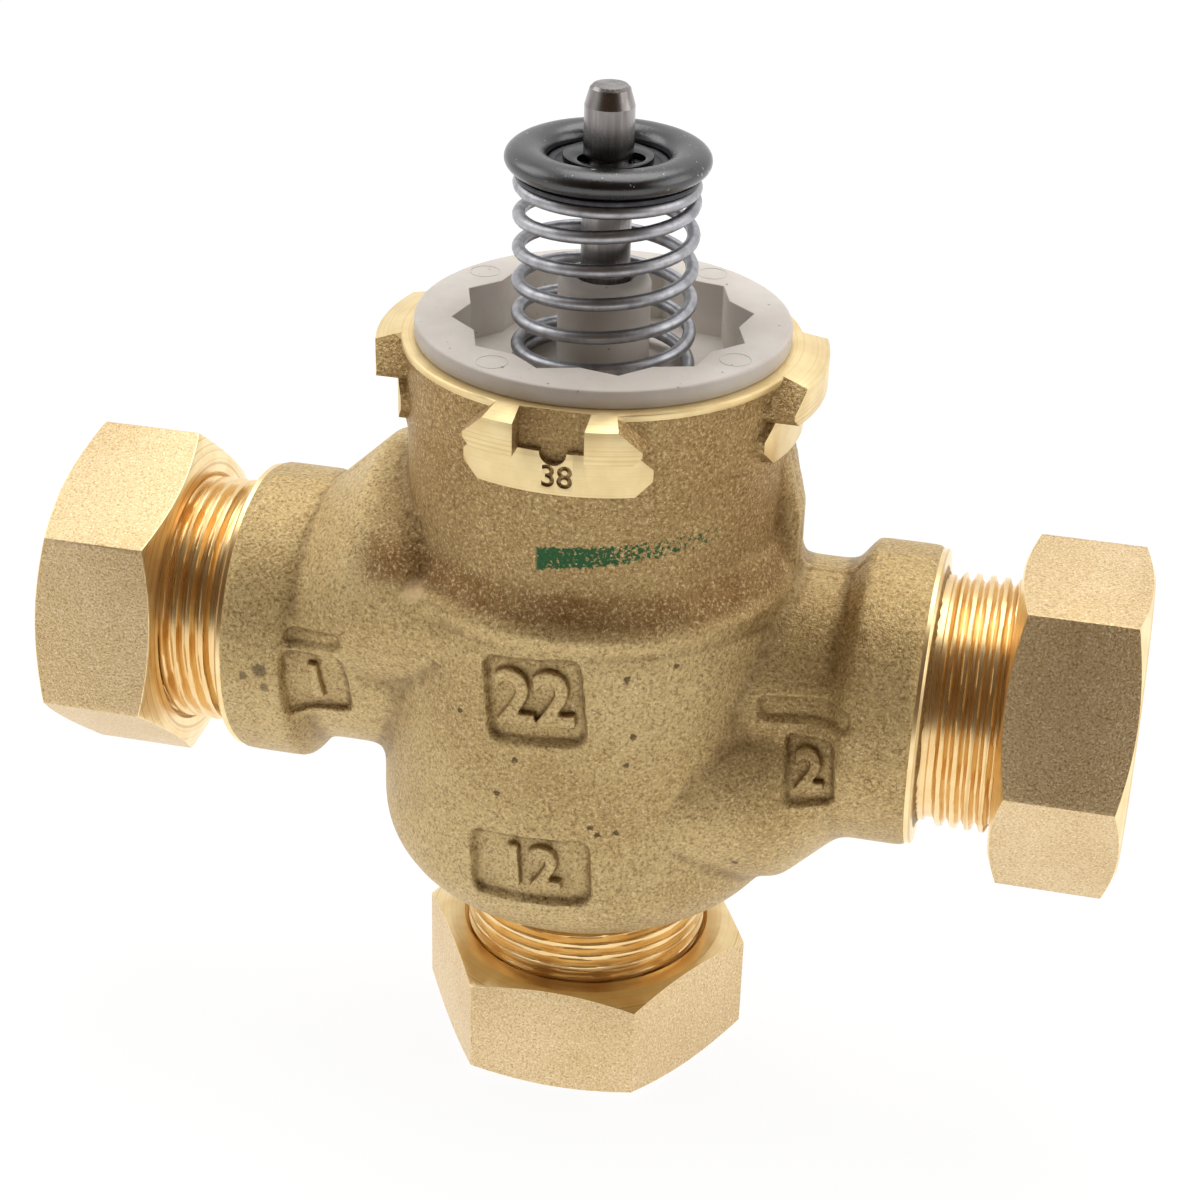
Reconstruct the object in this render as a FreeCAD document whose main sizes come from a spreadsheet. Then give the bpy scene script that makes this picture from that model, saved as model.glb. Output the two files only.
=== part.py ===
import FreeCAD, Part
import math
import os
import re
import Sketcher

# A three-port diverter valve with compression joints for 22 mm pipe.
# Lengths are millimetres. Heights are counted from the axis of the side ports
# (port A to the left, port B to the right), and port_height lifts the finished
# pieces so that the valve stands on the end of its lower nut (port AB).

SIZES = {
    # pipe and joint to the pipe, the same at all three ports
    "pipe_radius": 11.0,
    "socket_play": 0.15,
    "olive_play": 0.2,
    "nut_play": 0.3,
    "branch_reach": 51.15,
    "socket_depth": 16.0,
    "stop_radius": 9.7,
    "stop_length": 2.95,
    "thread_radius": 13.0,
    "thread_play": 0.05,
    "thread_engaged": 6.6,
    "relief_depth": 0.5,
    "relief_width": 1.1,
    "mouth_radius": 12.4,
    "mouth_slope": 0.577,
    "seat_gap": 0.08,
    "olive_radius": 12.3,
    "olive_edge_radius": 11.45,
    "nut_flats": 32.0,
    "nut_length": 13.3,
    "nut_face_radius": 15.6,
    "nut_chamfer": 1.2,
    "nut_entry": 0.9,
    "nut_bore_chamfer": 0.4,
    "nut_thread_run": 1.6,
    "nut_recess_radius": 12.6,
    "nut_recess_end": 3.6,
    "nut_turn_a": 11.5,
    "nut_turn_b": 29.7,
    "nut_turn_ab": 0.0,
    # casting, outside
    "barrel_radius": 22.0,
    "belly_radius": 22.7,
    "barrel_top": 13.4,
    "barrel_floor": 3.2,
    "barrel_round_margin": 0.9,
    "belly_land": 1.0,
    "foot_radius": 13.8,
    "foot_height": 1.6,
    "shoulder_drop": 5.0,
    "shoulder_round": 2.0,
    "neck_radius": 19.7,
    "rim_radius": 20.4,
    "rim_top": 36.9,
    "rim_height": 0.7,
    "rim_chamfer": 0.15,
    "collar_radius": 16.0,
    "collar_a_end": 37.6,
    "collar_b_end": 36.6,
    "collar_width": 7.4,
    "collar_round": 1.0,
    "waist_radius": 13.4,
    "waist_slope": 2.0,
    "passage_start": 30.0,
    "passage_start_radius": 14.6,
    "passage_start_rise": 0.6,
    "passage_mid": 23.0,
    "passage_mid_width": 16.3,
    "passage_mid_height": 13.6,
    "passage_mid_rise": 8.2,
    "passage_root": 1.0,
    "passage_root_inset": 0.1,
    "passage_root_height": 10.4,
    "passage_root_rise": 10.5,
    "rib_width": 5.0,
    "rib_top": 27.0,
    "rib_reach": 21.6,
    "rib_sink": 2.0,
    "rib_lean": 0.3,
    "rib_shoulder": 2.0,
    "rib_foot": 3.0,
    # casting, lugs that the actuator hooks on
    "lug_count": 4,
    "lug_radius": 23.0,
    "lug_bottom": 32.8,
    "lug_slope_drop": 0.7,
    "lug_top_half": 5.9,
    "lug_wide_half": 8.8,
    "lug_wide_height": 34.1,
    "lug_edge_height": 0.5,
    "lug_bottom_half": 8.0,
    "lug_sink": 3.0,
    "lug_stock": 1.0,
    "pad_radius": 20.8,
    "pad_bottom": 28.4,
    "pad_half": 9.4,
    "pad_corner": 1.6,
    "pad_sink": 3.1,
    "notch_half": 3.5,
    "notch_radius": 20.0,
    "relief_radius": 1.35,
    # casting, inside
    "cut_margin": 1.0,
    "way_overlap": 0.5,
    "bonnet_bore": 17.3,
    "sleeve_step": 22.5,
    "land_radius": 15.5,
    "chamber_radius": 18.0,
    "chamber_near": 5.5,
    "chamber_far": 15.5,
    "lower_land": 3.5,
    "ledge_depth": 22.0,
    "way_radius": 9.3,
    "way_lead": 2.0,
    "way_mid_width": 10.4,
    "way_mid_height": 7.4,
    "way_mid_rise": 6.4,
    "way_end": 15.0,
    "way_end_width": 10.4,
    "way_end_height": 5.0,
    "way_end_rise": 10.5,
    # flow sleeve and its rings
    "sleeve_play": 0.1,
    "sleeve_bore": 13.0,
    "sleeve_flange": 1.8,
    "sleeve_seal_upper_height": 19.0,
    "sleeve_seal_middle_height": 0.0,
    "sleeve_seal_lower_inset": 1.8,
    "sleeve_seal_section": 0.8,
    "ring_play": 0.03,
    "seal_play": 0.01,
    "groove_margin": 0.15,
    "window_count": 6,
    "window_half": 4.4,
    "window_near": 9.2,
    "window_far": 13.2,
    # bonnet with the twelve-point socket
    "bonnet_play": 0.1,
    "flange_radius": 19.1,
    "flange_height": 1.9,
    "flange_chamfer": 0.2,
    "socket_floor": 33.0,
    "floor_thickness": 2.5,
    "star_tip": 15.3,
    "star_valley": 13.7,
    "star_turn": 18.3,
    "star_points": 12,
    "boss_radius": 4.7,
    "boss_top": 43.2,
    "boss_round": 0.9,
    "boss_dish": 0.5,
    "skirt_wall": 2.9,
    "skirt_gap": 0.05,
    "bonnet_seal_height": 27.0,
    "bonnet_seal_section": 0.88,
    "bonnet_groove_margin": 0.2,
    "gland_radius": 6.6,
    "gland_bottom": 22.0,
    "gland_bore": 4.25,
    "gland_top": 29.2,
    "stem_seal_section": 0.85,
    "stem_seal_upper_height": 28.2,
    "stem_seal_lower_height": 26.3,
    "bush_bottom": 22.3,
    "bush_top": 25.2,
    "bush_play": 0.02,
    # stem and what it carries
    "stem_radius": 2.5,
    "stem_play": 0.05,
    "stem_top": 62.6,
    "stem_tip_radius": 2.0,
    "stem_tip_height": 2.0,
    "stem_tip_round": 0.3,
    "stem_tail_radius": 1.95,
    "stem_tail_end": 3.3,
    "stem_tail_chamfer": 0.3,
    "clip_groove_depth": 0.5,
    "clip_thickness": 0.65,
    "clip_radius": 4.5,
    "clip_turn": 115.0,
    "clip_play": 0.02,
    "clip_slot_share": 0.72,
    "clip_relief_share": 0.42,
    "clip_relief_back": 0.3,
    "clip_relief_side": 0.33,
    "plate_bottom": 53.4,
    "plate_flange": 9.2,
    "plate_flange_height": 0.5,
    "plate_radius": 6.0,
    "plate_top": 55.0,
    "plate_spigot": 7.4,
    "plate_spigot_drop": 1.2,
    "plate_groove_radius": 5.3,
    "plate_groove_half": 0.25,
    "plate_groove_depth": 0.15,
    "bumper_radius": 8.14,
    "bumper_half_width": 2.09,
    "bumper_half_height": 1.38,
    "spring_radius": 8.78,
    "spring_wire": 0.67,
    "spring_coils": 5.5,
    "spring_wire_sides": 10,
    "spring_steps": 24,
    "spring_gap": 0.05,
    # spool that opens one side port or the other
    "spool_play": 0.08,
    "spool_bore": 10.6,
    "spool_top": 15.6,
    "spool_bottom": 10.1,
    "spool_seal_inset": 1.6,
    "spool_seal_section": 0.6,
    "hub_radius": 3.7,
    "hub_bottom": 6.0,
    "hub_gap": 0.1,
    "spoke_half": 0.9,
    "spoke_overlap": 0.5,
    "spoke_top": 12.0,
    "spoke_count": 4,
    "washer_radius": 4.4,
    "washer_thickness": 0.8,
    "tail_clip_radius": 3.4,
}

# Lengths that follow from others: the lower port grows with the ledge that the sleeve stands on.
FOLLOWING = {
    "common_reach": "ledge_depth + stop_length + socket_depth",
    "port_height": "common_reach + nut_length - thread_engaged",
    "barrel_bottom": "ledge_depth + barrel_floor",
    "barrel_round": "belly_radius - foot_radius - barrel_round_margin",
    "lower_chamber_far": "ledge_depth - lower_land",
    "sleeve_seal_lower_depth": "ledge_depth - sleeve_seal_lower_inset",
}
NAMES = list(SIZES) + list(FOLLOWING)

doc = FreeCAD.newDocument("DiverterValve")
sheet = doc.addObject("Spreadsheet::Sheet", "Sizes")
for row, alias in enumerate(NAMES, start=1):
    value = str(SIZES[alias]) if alias in SIZES else "=" + FOLLOWING[alias]
    sheet.set("A%d" % row, alias)
    sheet.set("B%d" % row, value)
    sheet.setAlias("B%d" % row, alias)
doc.recompute()

TURN_TO_FRONT = FreeCAD.Rotation(FreeCAD.Vector(1, 0, 0), 90)
AXIS_TO_LEFT = FreeCAD.Rotation(FreeCAD.Vector(0, 1, 0), -90)
AXIS_TO_RIGHT = FreeCAD.Rotation(FreeCAD.Vector(0, 1, 0), 90)
AXIS_DOWN = FreeCAD.Rotation(FreeCAD.Vector(1, 0, 0), 180)
SECTION_TURN = FreeCAD.Rotation(FreeCAD.Vector(1, 1, 1), 120)
FULL_TURN = 360.0
FIRST_RADIUS = 5.0


def bind(text):
    """Point each size that an expression names at its cell of the sheet."""
    return re.sub(r"[a-z][a-z_]*", lambda word: "Sizes." + word.group() if word.group() in NAMES
                  else word.group(), text)


def tie(thing, **rules):
    """Bind properties of an object to expressions, such as Radius or Placement__Base__z."""
    for place, text in rules.items():
        thing.setExpression(place.replace("__", "."), bind(text))


def new_body(name):
    return doc.addObject("PartDesign::Body", name)


def new_sketch(body, role, name, lift="0"):
    """An empty sketch on one of the body's own planes, moved along that plane's normal."""
    plane = next(item for item in body.Origin.OriginFeatures if item.Role == role)
    sketch = body.newObject("Sketcher::SketchObject", name)
    sketch.AttachmentSupport = [(plane, "")]
    sketch.MapMode = "FlatFace"
    tie(sketch, AttachmentOffset__Base__z=lift)
    return sketch


def hold(sketch, line, end, across, up):
    """Dimension one point of a line or circle from the sketch's origin."""
    for kind, text in (("DistanceX", across), ("DistanceY", up)):
        place = sketch.addConstraint(Sketcher.Constraint(kind, -1, 1, line, end, 1.0))
        sketch.setExpression("Constraints[%d]" % place, bind(text))


def outline(sketch, corners):
    """A closed outline of straight lines through the corners, each one dimensioned."""
    first = sketch.GeometryCount
    total = len(corners)
    start = [FreeCAD.Vector(1 + step, 1 + step * step / total, 0) for step in range(total)]
    sketch.addGeometry([Part.LineSegment(start[step], start[(step + 1) % total])
                        for step in range(total)])
    sketch.addConstraint([Sketcher.Constraint("Coincident", first + step, 2,
                                              first + (step + 1) % total, 1)
                          for step in range(total)])
    for step, (across, up) in enumerate(corners):
        hold(sketch, first + step, 1, across, up)


def ring(sketch, radius, across="0", up="0"):
    """A circle with its centre and radius dimensioned."""
    circle = Part.Circle(FreeCAD.Vector(1, 1, 0), FreeCAD.Vector(0, 0, 1), FIRST_RADIUS)
    place = sketch.addGeometry(circle)
    hold(sketch, place, 3, across, up)
    rule = sketch.addConstraint(Sketcher.Constraint("Radius", place, FIRST_RADIUS))
    sketch.setExpression("Constraints[%d]" % rule, bind(radius))


def turn(body, name, corners, axis="V_Axis", cut=False, plane="XZ_Plane"):
    """Revolve an outline of (radius, height) corners round the body's upright axis."""
    sketch = new_sketch(body, plane, name + "_section")
    outline(sketch, corners)
    kind = "PartDesign::Groove" if cut else "PartDesign::Revolution"
    feature = body.newObject(kind, name)
    feature.Profile = sketch
    feature.ReferenceAxis = (sketch, [axis])
    feature.Angle = FULL_TURN
    doc.recompute()
    return feature


def extrude(body, name, sketch, length=None, cut=False, midplane=False, reverse=False):
    """Pad or pocket a sketch, to a length or, for a pocket with none, through everything."""
    feature = body.newObject("PartDesign::Pocket" if cut else "PartDesign::Pad", name)
    feature.Profile = sketch
    feature.Midplane = midplane
    feature.Reversed = reverse
    if length is None:
        feature.Type = 1
    else:
        tie(feature, Length=length)
    doc.recompute()
    return feature


def repeat_round(body, name, features, count):
    """Copy features round the body's upright axis."""
    axis = next(item for item in body.Origin.OriginFeatures if item.Role == "Z_Axis")
    pattern = body.newObject("PartDesign::PolarPattern", name)
    pattern.Originals = features
    pattern.Axis = (axis, [""])
    pattern.Angle = FULL_TURN
    tie(pattern, Occurrences=count)
    body.Tip = pattern
    doc.recompute()
    return pattern


def round_edges(body, name, base, radius, chosen):
    """Fillet the edges of a feature that a test picks out."""
    edges = ["Edge%d" % (place + 1) for place, edge in enumerate(base.Shape.Edges) if chosen(edge)]
    feature = body.newObject("PartDesign::Fillet", name)
    feature.Base = (base, edges)
    tie(feature, Radius=radius)
    doc.recompute()
    return feature


def is_circle_at(radius, height):
    """A test for a full circle round the upright axis at a radius and a height."""
    def test(edge):
        box = edge.BoundBox
        return (abs(box.ZMax - height) < 0.01 and abs(box.ZMin - height) < 0.01
                and abs(box.XMax - radius) < 0.05 and len(edge.Vertexes) == 1)
    return test


def place_on_stem_line(piece):
    """Lift a piece so that heights count from the port axis."""
    tie(piece, Placement__Base__z="port_height")
    return piece


def place_at_port(piece, port, spin=0.0):
    """Put a piece whose origin is the end of a spigot, axis outwards, at one of the ports."""
    swing = {"a": AXIS_TO_LEFT, "b": AXIS_TO_RIGHT, "ab": AXIS_DOWN}[port]
    own_turn = FreeCAD.Rotation(FreeCAD.Vector(0, 0, 1), spin)
    piece.Placement = FreeCAD.Placement(FreeCAD.Vector(), swing * own_turn)
    if port == "ab":
        tie(piece, Placement__Base__z="port_height - common_reach")
    else:
        side = "-branch_reach" if port == "a" else "branch_reach"
        tie(piece, Placement__Base__x=side, Placement__Base__z="port_height")
    return piece


def combine(name, kind, first, others, merge_faces=False):
    """Fuse each of the others with the first piece, or cut each from it, one after another."""
    result = first
    for step, other in enumerate(others):
        last = step == len(others) - 1
        base = result
        result = doc.addObject(kind, name if last else "%s_step_%d" % (name, step + 1))
        result.Base = base
        result.Tool = other
        result.Refine = last and merge_faces
    doc.recompute()
    return result


def section(name, across, width, height, rise):
    """An upright ellipse across a side passage, at a distance from the stem line."""
    ellipse = doc.addObject("Part::Ellipse", name)
    ellipse.Placement = FreeCAD.Placement(FreeCAD.Vector(), SECTION_TURN)
    tie(ellipse, MajorRadius=width, MinorRadius=height,
        Placement__Base__x=across, Placement__Base__z=rise)
    return ellipse


def loft(name, sections):
    """A straight-sided solid through a row of sections."""
    result = doc.addObject("Part::Loft", name)
    result.Sections = sections
    result.Solid = True
    result.Ruled = True
    doc.recompute()
    return result


def passage(name, side, stations):
    """A side passage, which climbs towards port A's chamber and drops towards port B's."""
    sign = {"a": "-", "b": ""}[side]
    rise_sign = {"a": "", "b": "-"}[side]
    sections = [section("%s_%s_%d" % (name, side, place), "%s(%s)" % (sign, across), width,
                        height, "%s(%s)" % (rise_sign, rise))
                for place, (across, width, height, rise) in enumerate(stations)]
    return loft("%s_%s" % (name, side), sections)


def make_core():
    """Barrel, neck and lower spigot: what a lathe would turn round the stem line."""
    body = new_body("core")
    shape = turn(body, "core_turned", [
        ("0", "-common_reach"),
        ("thread_radius", "-common_reach"),
        ("thread_radius", "-barrel_bottom - foot_height - relief_width"),
        ("thread_radius - relief_depth", "-barrel_bottom - foot_height - relief_width"),
        ("thread_radius - relief_depth", "-barrel_bottom - foot_height"),
        ("foot_radius", "-barrel_bottom - foot_height"),
        ("foot_radius", "-barrel_bottom"),
        ("belly_radius", "-barrel_bottom"),
        ("belly_radius", "-barrel_bottom + barrel_round + belly_land"),
        ("barrel_radius", "barrel_top"),
        ("neck_radius", "barrel_top + shoulder_drop"),
        ("(neck_radius + rim_radius) / 2", "rim_top - rim_height"),
        ("rim_radius", "rim_top - rim_height"),
        ("rim_radius", "rim_top - rim_chamfer"),
        ("rim_radius - rim_chamfer", "rim_top"),
        ("0", "rim_top"),
    ], plane="YZ_Plane")
    low = round_edges(body, "core_bottom_round", shape, "barrel_round",
                      is_circle_at(sheet.get("belly_radius"), -sheet.get("barrel_bottom")))
    round_edges(body, "core_shoulder_round", low, "shoulder_round",
                is_circle_at(sheet.get("barrel_radius"), sheet.get("barrel_top")))
    return body


def make_arms():
    """Collars and threaded spigots of ports A and B, turned round the port axis."""
    body = new_body("arms")
    side = {"a": "-", "b": ""}
    half = {}
    for port, sign in side.items():
        end = "collar_%s_end" % port
        half[port] = [
            (sign + "branch_reach", "0"),
            (sign + "branch_reach", "thread_radius"),
            ("%s(%s + relief_width)" % (sign, end), "thread_radius"),
            ("%s(%s + relief_width)" % (sign, end), "thread_radius - relief_depth"),
            ("%s%s" % (sign, end), "thread_radius - relief_depth"),
            ("%s%s" % (sign, end), "collar_radius - collar_round"),
            ("%s(%s - collar_round)" % (sign, end), "collar_radius"),
            ("%s(%s - collar_width)" % (sign, end), "collar_radius"),
            ("%s(%s - collar_width - waist_slope)" % (sign, end), "waist_radius"),
        ]
    turn(body, "arms_turned", half["a"] + half["b"][::-1], axis="H_Axis")
    return body


def make_lugs():
    """Four hooked lugs with a pad under each, cast and then turned to their radii."""
    body = new_body("lugs")
    face = new_sketch(body, "YZ_Plane", "lug_face", lift="neck_radius - lug_sink")
    outline(face, [
        ("-lug_top_half", "rim_top"), ("-lug_wide_half", "lug_wide_height"),
        ("-lug_wide_half", "lug_wide_height - lug_edge_height"), ("-lug_bottom_half", "lug_bottom"),
        ("lug_bottom_half", "lug_bottom"), ("lug_wide_half", "lug_wide_height - lug_edge_height"),
        ("lug_wide_half", "lug_wide_height"), ("lug_top_half", "rim_top"),
    ])
    length = "lug_radius - neck_radius + lug_sink + lug_stock"
    lug = extrude(body, "lug", face, length)
    pad_face = new_sketch(body, "YZ_Plane", "pad_face", lift="neck_radius - pad_sink")
    outline(pad_face, [
        ("-pad_half", "lug_bottom - pad_corner"), ("-pad_half", "pad_bottom + pad_corner"),
        ("-pad_half + pad_corner", "pad_bottom"), ("pad_half - pad_corner", "pad_bottom"),
        ("pad_half", "pad_bottom + pad_corner"), ("pad_half", "lug_bottom - pad_corner"),
        ("pad_half - pad_corner", "lug_bottom"), ("-pad_half + pad_corner", "lug_bottom"),
    ])
    pad = extrude(body, "pad", pad_face, length)
    repeat_round(body, "lugs_round", [lug, pad], "lug_count")
    outside = "2 * lug_radius"
    groove = turn(body, "lugs_turned", [
        ("pad_radius", "pad_bottom - cut_margin"), (outside, "pad_bottom - cut_margin"),
        (outside, "rim_top + cut_margin"), ("neck_radius", "rim_top + cut_margin"),
        ("neck_radius", "rim_top"), ("rim_radius", "rim_top"),
        ("lug_radius", "rim_top - lug_slope_drop"), ("lug_radius", "lug_bottom"),
        ("pad_radius", "lug_bottom"),
    ], cut=True)
    body.Tip = groove
    return body


def make_rib():
    """The web that the mould's parting leaves on the neck above port B."""
    body = new_body("rib")
    face = new_sketch(body, "XZ_Plane", "rib_face")
    outline(face, [
        ("neck_radius - rib_sink", "rib_top"), ("neck_radius + rib_lean", "rib_top"),
        ("rib_reach", "barrel_top + shoulder_drop + rib_shoulder"), ("rib_reach", "waist_radius"),
        ("neck_radius - rib_sink", "waist_radius - rib_foot"),
    ])
    extrude(body, "rib_web", face, "rib_width", midplane=True)
    return body


def make_stem_bore():
    """Everything bored round the stem line: bonnet seat, lands, chambers, lower socket."""
    body = new_body("stem_bore")
    turn(body, "stem_bore_turned", [
        ("0", "-common_reach - cut_margin"),
        ("mouth_radius + mouth_slope * cut_margin", "-common_reach - cut_margin"),
        ("pipe_radius + socket_play",
         "-common_reach + (mouth_radius - pipe_radius - socket_play) / mouth_slope"),
        ("pipe_radius + socket_play", "-common_reach + socket_depth"),
        ("stop_radius", "-common_reach + socket_depth"),
        ("stop_radius", "-ledge_depth"),
        ("land_radius", "-ledge_depth"),
        ("land_radius", "-lower_chamber_far"),
        ("chamber_radius", "-lower_chamber_far"),
        ("chamber_radius", "-chamber_near"),
        ("land_radius", "-chamber_near"),
        ("land_radius", "chamber_near"),
        ("chamber_radius", "chamber_near"),
        ("chamber_radius", "chamber_far"),
        ("land_radius", "chamber_far"),
        ("land_radius", "sleeve_step"),
        ("bonnet_bore", "sleeve_step"),
        ("bonnet_bore", "rim_top + cut_margin"),
        ("0", "rim_top + cut_margin"),
    ], plane="YZ_Plane")
    return body


def make_side_bore(port):
    """Pipe socket and stop of one side port."""
    sign = {"a": "-", "b": ""}[port]
    body = new_body("side_bore_" + port)
    turn(body, "side_bore_%s_turned" % port, [
        (sign + "(branch_reach + cut_margin)", "0"),
        (sign + "(branch_reach + cut_margin)", "mouth_radius + mouth_slope * cut_margin"),
        ("%s(branch_reach - (mouth_radius - pipe_radius - socket_play) / mouth_slope)" % sign,
         "pipe_radius + socket_play"),
        (sign + "(branch_reach - socket_depth)", "pipe_radius + socket_play"),
        (sign + "(branch_reach - socket_depth)", "stop_radius"),
        (sign + "(passage_start - way_overlap)", "stop_radius"),
        (sign + "(passage_start - way_overlap)", "0"),
    ], axis="H_Axis")
    return body


def make_notch():
    """The keyway in the front lug, with a rounded relief running into the pad."""
    body = new_body("notch")
    face = new_sketch(body, "XZ_Plane", "notch_face", lift="notch_radius")
    outline(face, [
        ("-notch_half", "lug_bottom"), ("notch_half", "lug_bottom"),
        ("notch_half", "rim_top + cut_margin"), ("-notch_half", "rim_top + cut_margin"),
    ])
    extrude(body, "notch_cut", face, "lug_radius")
    relief = new_sketch(body, "XZ_Plane", "relief_face", lift="notch_radius")
    ring(relief, "relief_radius", up="lug_bottom")
    extrude(body, "relief_cut", relief, "lug_radius")
    return body


def make_valve_body():
    """The brass casting with its machined lugs, spigots and bores."""
    outer = [("passage_start", "passage_start_radius", "passage_start_radius", "passage_start_rise"),
             ("passage_mid", "passage_mid_width", "passage_mid_height", "passage_mid_rise"),
             ("passage_root", "barrel_radius - passage_root_inset", "passage_root_height",
              "passage_root_rise")]
    inner = [("passage_start + way_lead", "way_radius", "way_radius", "0"),
             ("passage_mid", "way_mid_width", "way_mid_height", "way_mid_rise"),
             ("way_end", "way_end_width", "way_end_height", "way_end_rise")]
    solid = combine("casting", "Part::Fuse", make_core(), [
        make_arms(), make_lugs(), make_rib(),
        passage("bulge", "a", outer), passage("bulge", "b", outer)])
    finished = combine("valve_body", "Part::Cut", solid, [
        make_stem_bore(), make_side_bore("a"), make_side_bore("b"), make_notch(),
        passage("way", "a", inner), passage("way", "b", inner)], merge_faces=True)
    return place_on_stem_line(finished)


def make_nut(port):
    """A hexagon compression nut: turned ends, thread bore, recess and cone for the olive."""
    body = new_body("nut_" + port)
    corner = "nut_flats / (2 * cos(30))"
    inner_end = "-thread_engaged"
    outer_end = "nut_length - thread_engaged"
    turn(body, "nut_%s_turned" % port, [
        ("thread_radius + nut_entry", inner_end),
        ("nut_face_radius", inner_end),
        (corner, inner_end + " + nut_chamfer"),
        (corner, outer_end + " - nut_chamfer"),
        ("nut_face_radius", outer_end),
        ("pipe_radius + nut_play + nut_bore_chamfer", outer_end),
        ("pipe_radius + nut_play", outer_end + " - nut_bore_chamfer"),
        ("pipe_radius + nut_play",
         "nut_recess_end + nut_recess_radius - pipe_radius - nut_play"),
        ("nut_recess_radius", "nut_recess_end"),
        ("nut_recess_radius", "nut_thread_run"),
        ("thread_radius + thread_play", "nut_thread_run"),
        ("thread_radius + thread_play", inner_end + " + nut_entry"),
    ])
    flats = new_sketch(body, "XY_Plane", "nut_%s_flats" % port, lift="-thread_engaged - cut_margin")
    outline(flats, [("%s * cos(%d)" % (corner, angle), "%s * sin(%d)" % (corner, angle))
                    for angle in range(0, 360, 60)])
    ring(flats, "nut_flats")
    extrude(body, "nut_%s_hexagon" % port, flats, "nut_length + 2 * cut_margin",
            cut=True, reverse=True)
    return place_at_port(body, port, SIZES["nut_turn_" + port])


def make_olive(port):
    """The soft ring that the nut squeezes on to the pipe."""
    body = new_body("olive_" + port)
    turn(body, "olive_%s_turned" % port, [
        ("pipe_radius + olive_play", "(olive_edge_radius - mouth_radius) / mouth_slope + seat_gap"),
        ("olive_edge_radius", "(olive_edge_radius - mouth_radius) / mouth_slope + seat_gap"),
        ("olive_radius", "(olive_radius - mouth_radius) / mouth_slope + seat_gap"),
        ("olive_radius", "nut_recess_end + nut_recess_radius - olive_radius - seat_gap"),
        ("olive_edge_radius", "nut_recess_end + nut_recess_radius - olive_edge_radius - seat_gap"),
        ("pipe_radius + olive_play",
         "nut_recess_end + nut_recess_radius - olive_edge_radius - seat_gap"),
    ])
    return place_at_port(body, port)


def make_bonnet():
    """Moulded bonnet: flange, twelve-point socket, stem guide and gland for the stem seals."""
    body = new_body("bonnet")
    shell = turn(body, "bonnet_turned", [
        ("stem_radius + stem_play", "gland_top"),
        ("gland_bore", "gland_top"),
        ("gland_bore", "gland_bottom"),
        ("gland_radius", "gland_bottom"),
        ("gland_radius", "socket_floor - floor_thickness"),
        ("bonnet_bore - skirt_wall", "socket_floor - floor_thickness"),
        ("bonnet_bore - skirt_wall", "sleeve_step + sleeve_flange + skirt_gap"),
        ("bonnet_bore - bonnet_play", "sleeve_step + sleeve_flange + skirt_gap"),
        ("bonnet_bore - bonnet_play",
         "bonnet_seal_height - bonnet_seal_section - bonnet_groove_margin"),
        ("bonnet_bore - 2 * bonnet_seal_section - ring_play",
         "bonnet_seal_height - bonnet_seal_section - bonnet_groove_margin"),
        ("bonnet_bore - 2 * bonnet_seal_section - ring_play",
         "bonnet_seal_height + bonnet_seal_section + bonnet_groove_margin"),
        ("bonnet_bore - bonnet_play",
         "bonnet_seal_height + bonnet_seal_section + bonnet_groove_margin"),
        ("bonnet_bore - bonnet_play", "rim_top"),
        ("flange_radius", "rim_top"),
        ("flange_radius", "rim_top + flange_height - flange_chamfer"),
        ("flange_radius - flange_chamfer", "rim_top + flange_height"),
        ("boss_radius", "rim_top + flange_height"),
        ("boss_radius", "boss_top"),
        ("stem_radius + stem_play + boss_dish", "boss_top"),
        ("stem_radius + stem_play", "boss_top - boss_dish"),
    ])
    edge = round_edges(body, "bonnet_boss_round", shell, "boss_round",
                       is_circle_at(sheet.get("boss_radius"), sheet.get("boss_top")))
    body.Tip = edge
    socket = new_sketch(body, "XY_Plane", "bonnet_socket", lift="rim_top + flange_height")
    corners = []
    for step in range(SIZES["star_points"]):
        tip_angle = "(star_turn + %d * 360 / star_points)" % step
        valley_angle = "(star_turn + (%d + 0.5) * 360 / star_points)" % step
        corners.append(("star_tip * cos(%s)" % tip_angle, "star_tip * sin(%s)" % tip_angle))
        corners.append(("star_valley * cos(%s)" % valley_angle,
                        "star_valley * sin(%s)" % valley_angle))
    outline(socket, corners)
    ring(socket, "boss_radius")
    extrude(body, "bonnet_socket_cut", socket, "rim_top + flange_height - socket_floor", cut=True)
    return place_on_stem_line(body)


def make_sleeve():
    """Moulded sleeve with a row of windows into each side chamber and three ring grooves."""
    body = new_body("flow_sleeve")
    outside = "land_radius - sleeve_play"
    floor = "land_radius - ring_play - 2 * sleeve_seal_section"
    half = "sleeve_seal_section + groove_margin"
    corners = [("sleeve_bore", "sleeve_step + sleeve_flange"), ("sleeve_bore", "-ledge_depth"),
               (outside, "-ledge_depth")]
    for height in ("-sleeve_seal_lower_depth", "sleeve_seal_middle_height",
                   "sleeve_seal_upper_height"):
        corners += [(outside, "%s - (%s)" % (height, half)), (floor, "%s - (%s)" % (height, half)),
                    (floor, "%s + (%s)" % (height, half)), (outside, "%s + (%s)" % (height, half))]
    corners += [(outside, "sleeve_step"), ("bonnet_bore - bonnet_play", "sleeve_step"),
                ("bonnet_bore - bonnet_play", "sleeve_step + sleeve_flange")]
    turn(body, "sleeve_turned", corners)
    windows = []
    for name, low, high in (("window_a", "window_near", "window_far"),
                            ("window_b", "-window_far", "-window_near")):
        face = new_sketch(body, "YZ_Plane", name + "_face")
        outline(face, [("-window_half", low), ("window_half", low), ("window_half", high),
                       ("-window_half", high)])
        windows.append(extrude(body, name, face, "land_radius + cut_margin", cut=True,
                               reverse=True))
    repeat_round(body, "windows_round", windows, "window_count")
    return place_on_stem_line(body)


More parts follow.
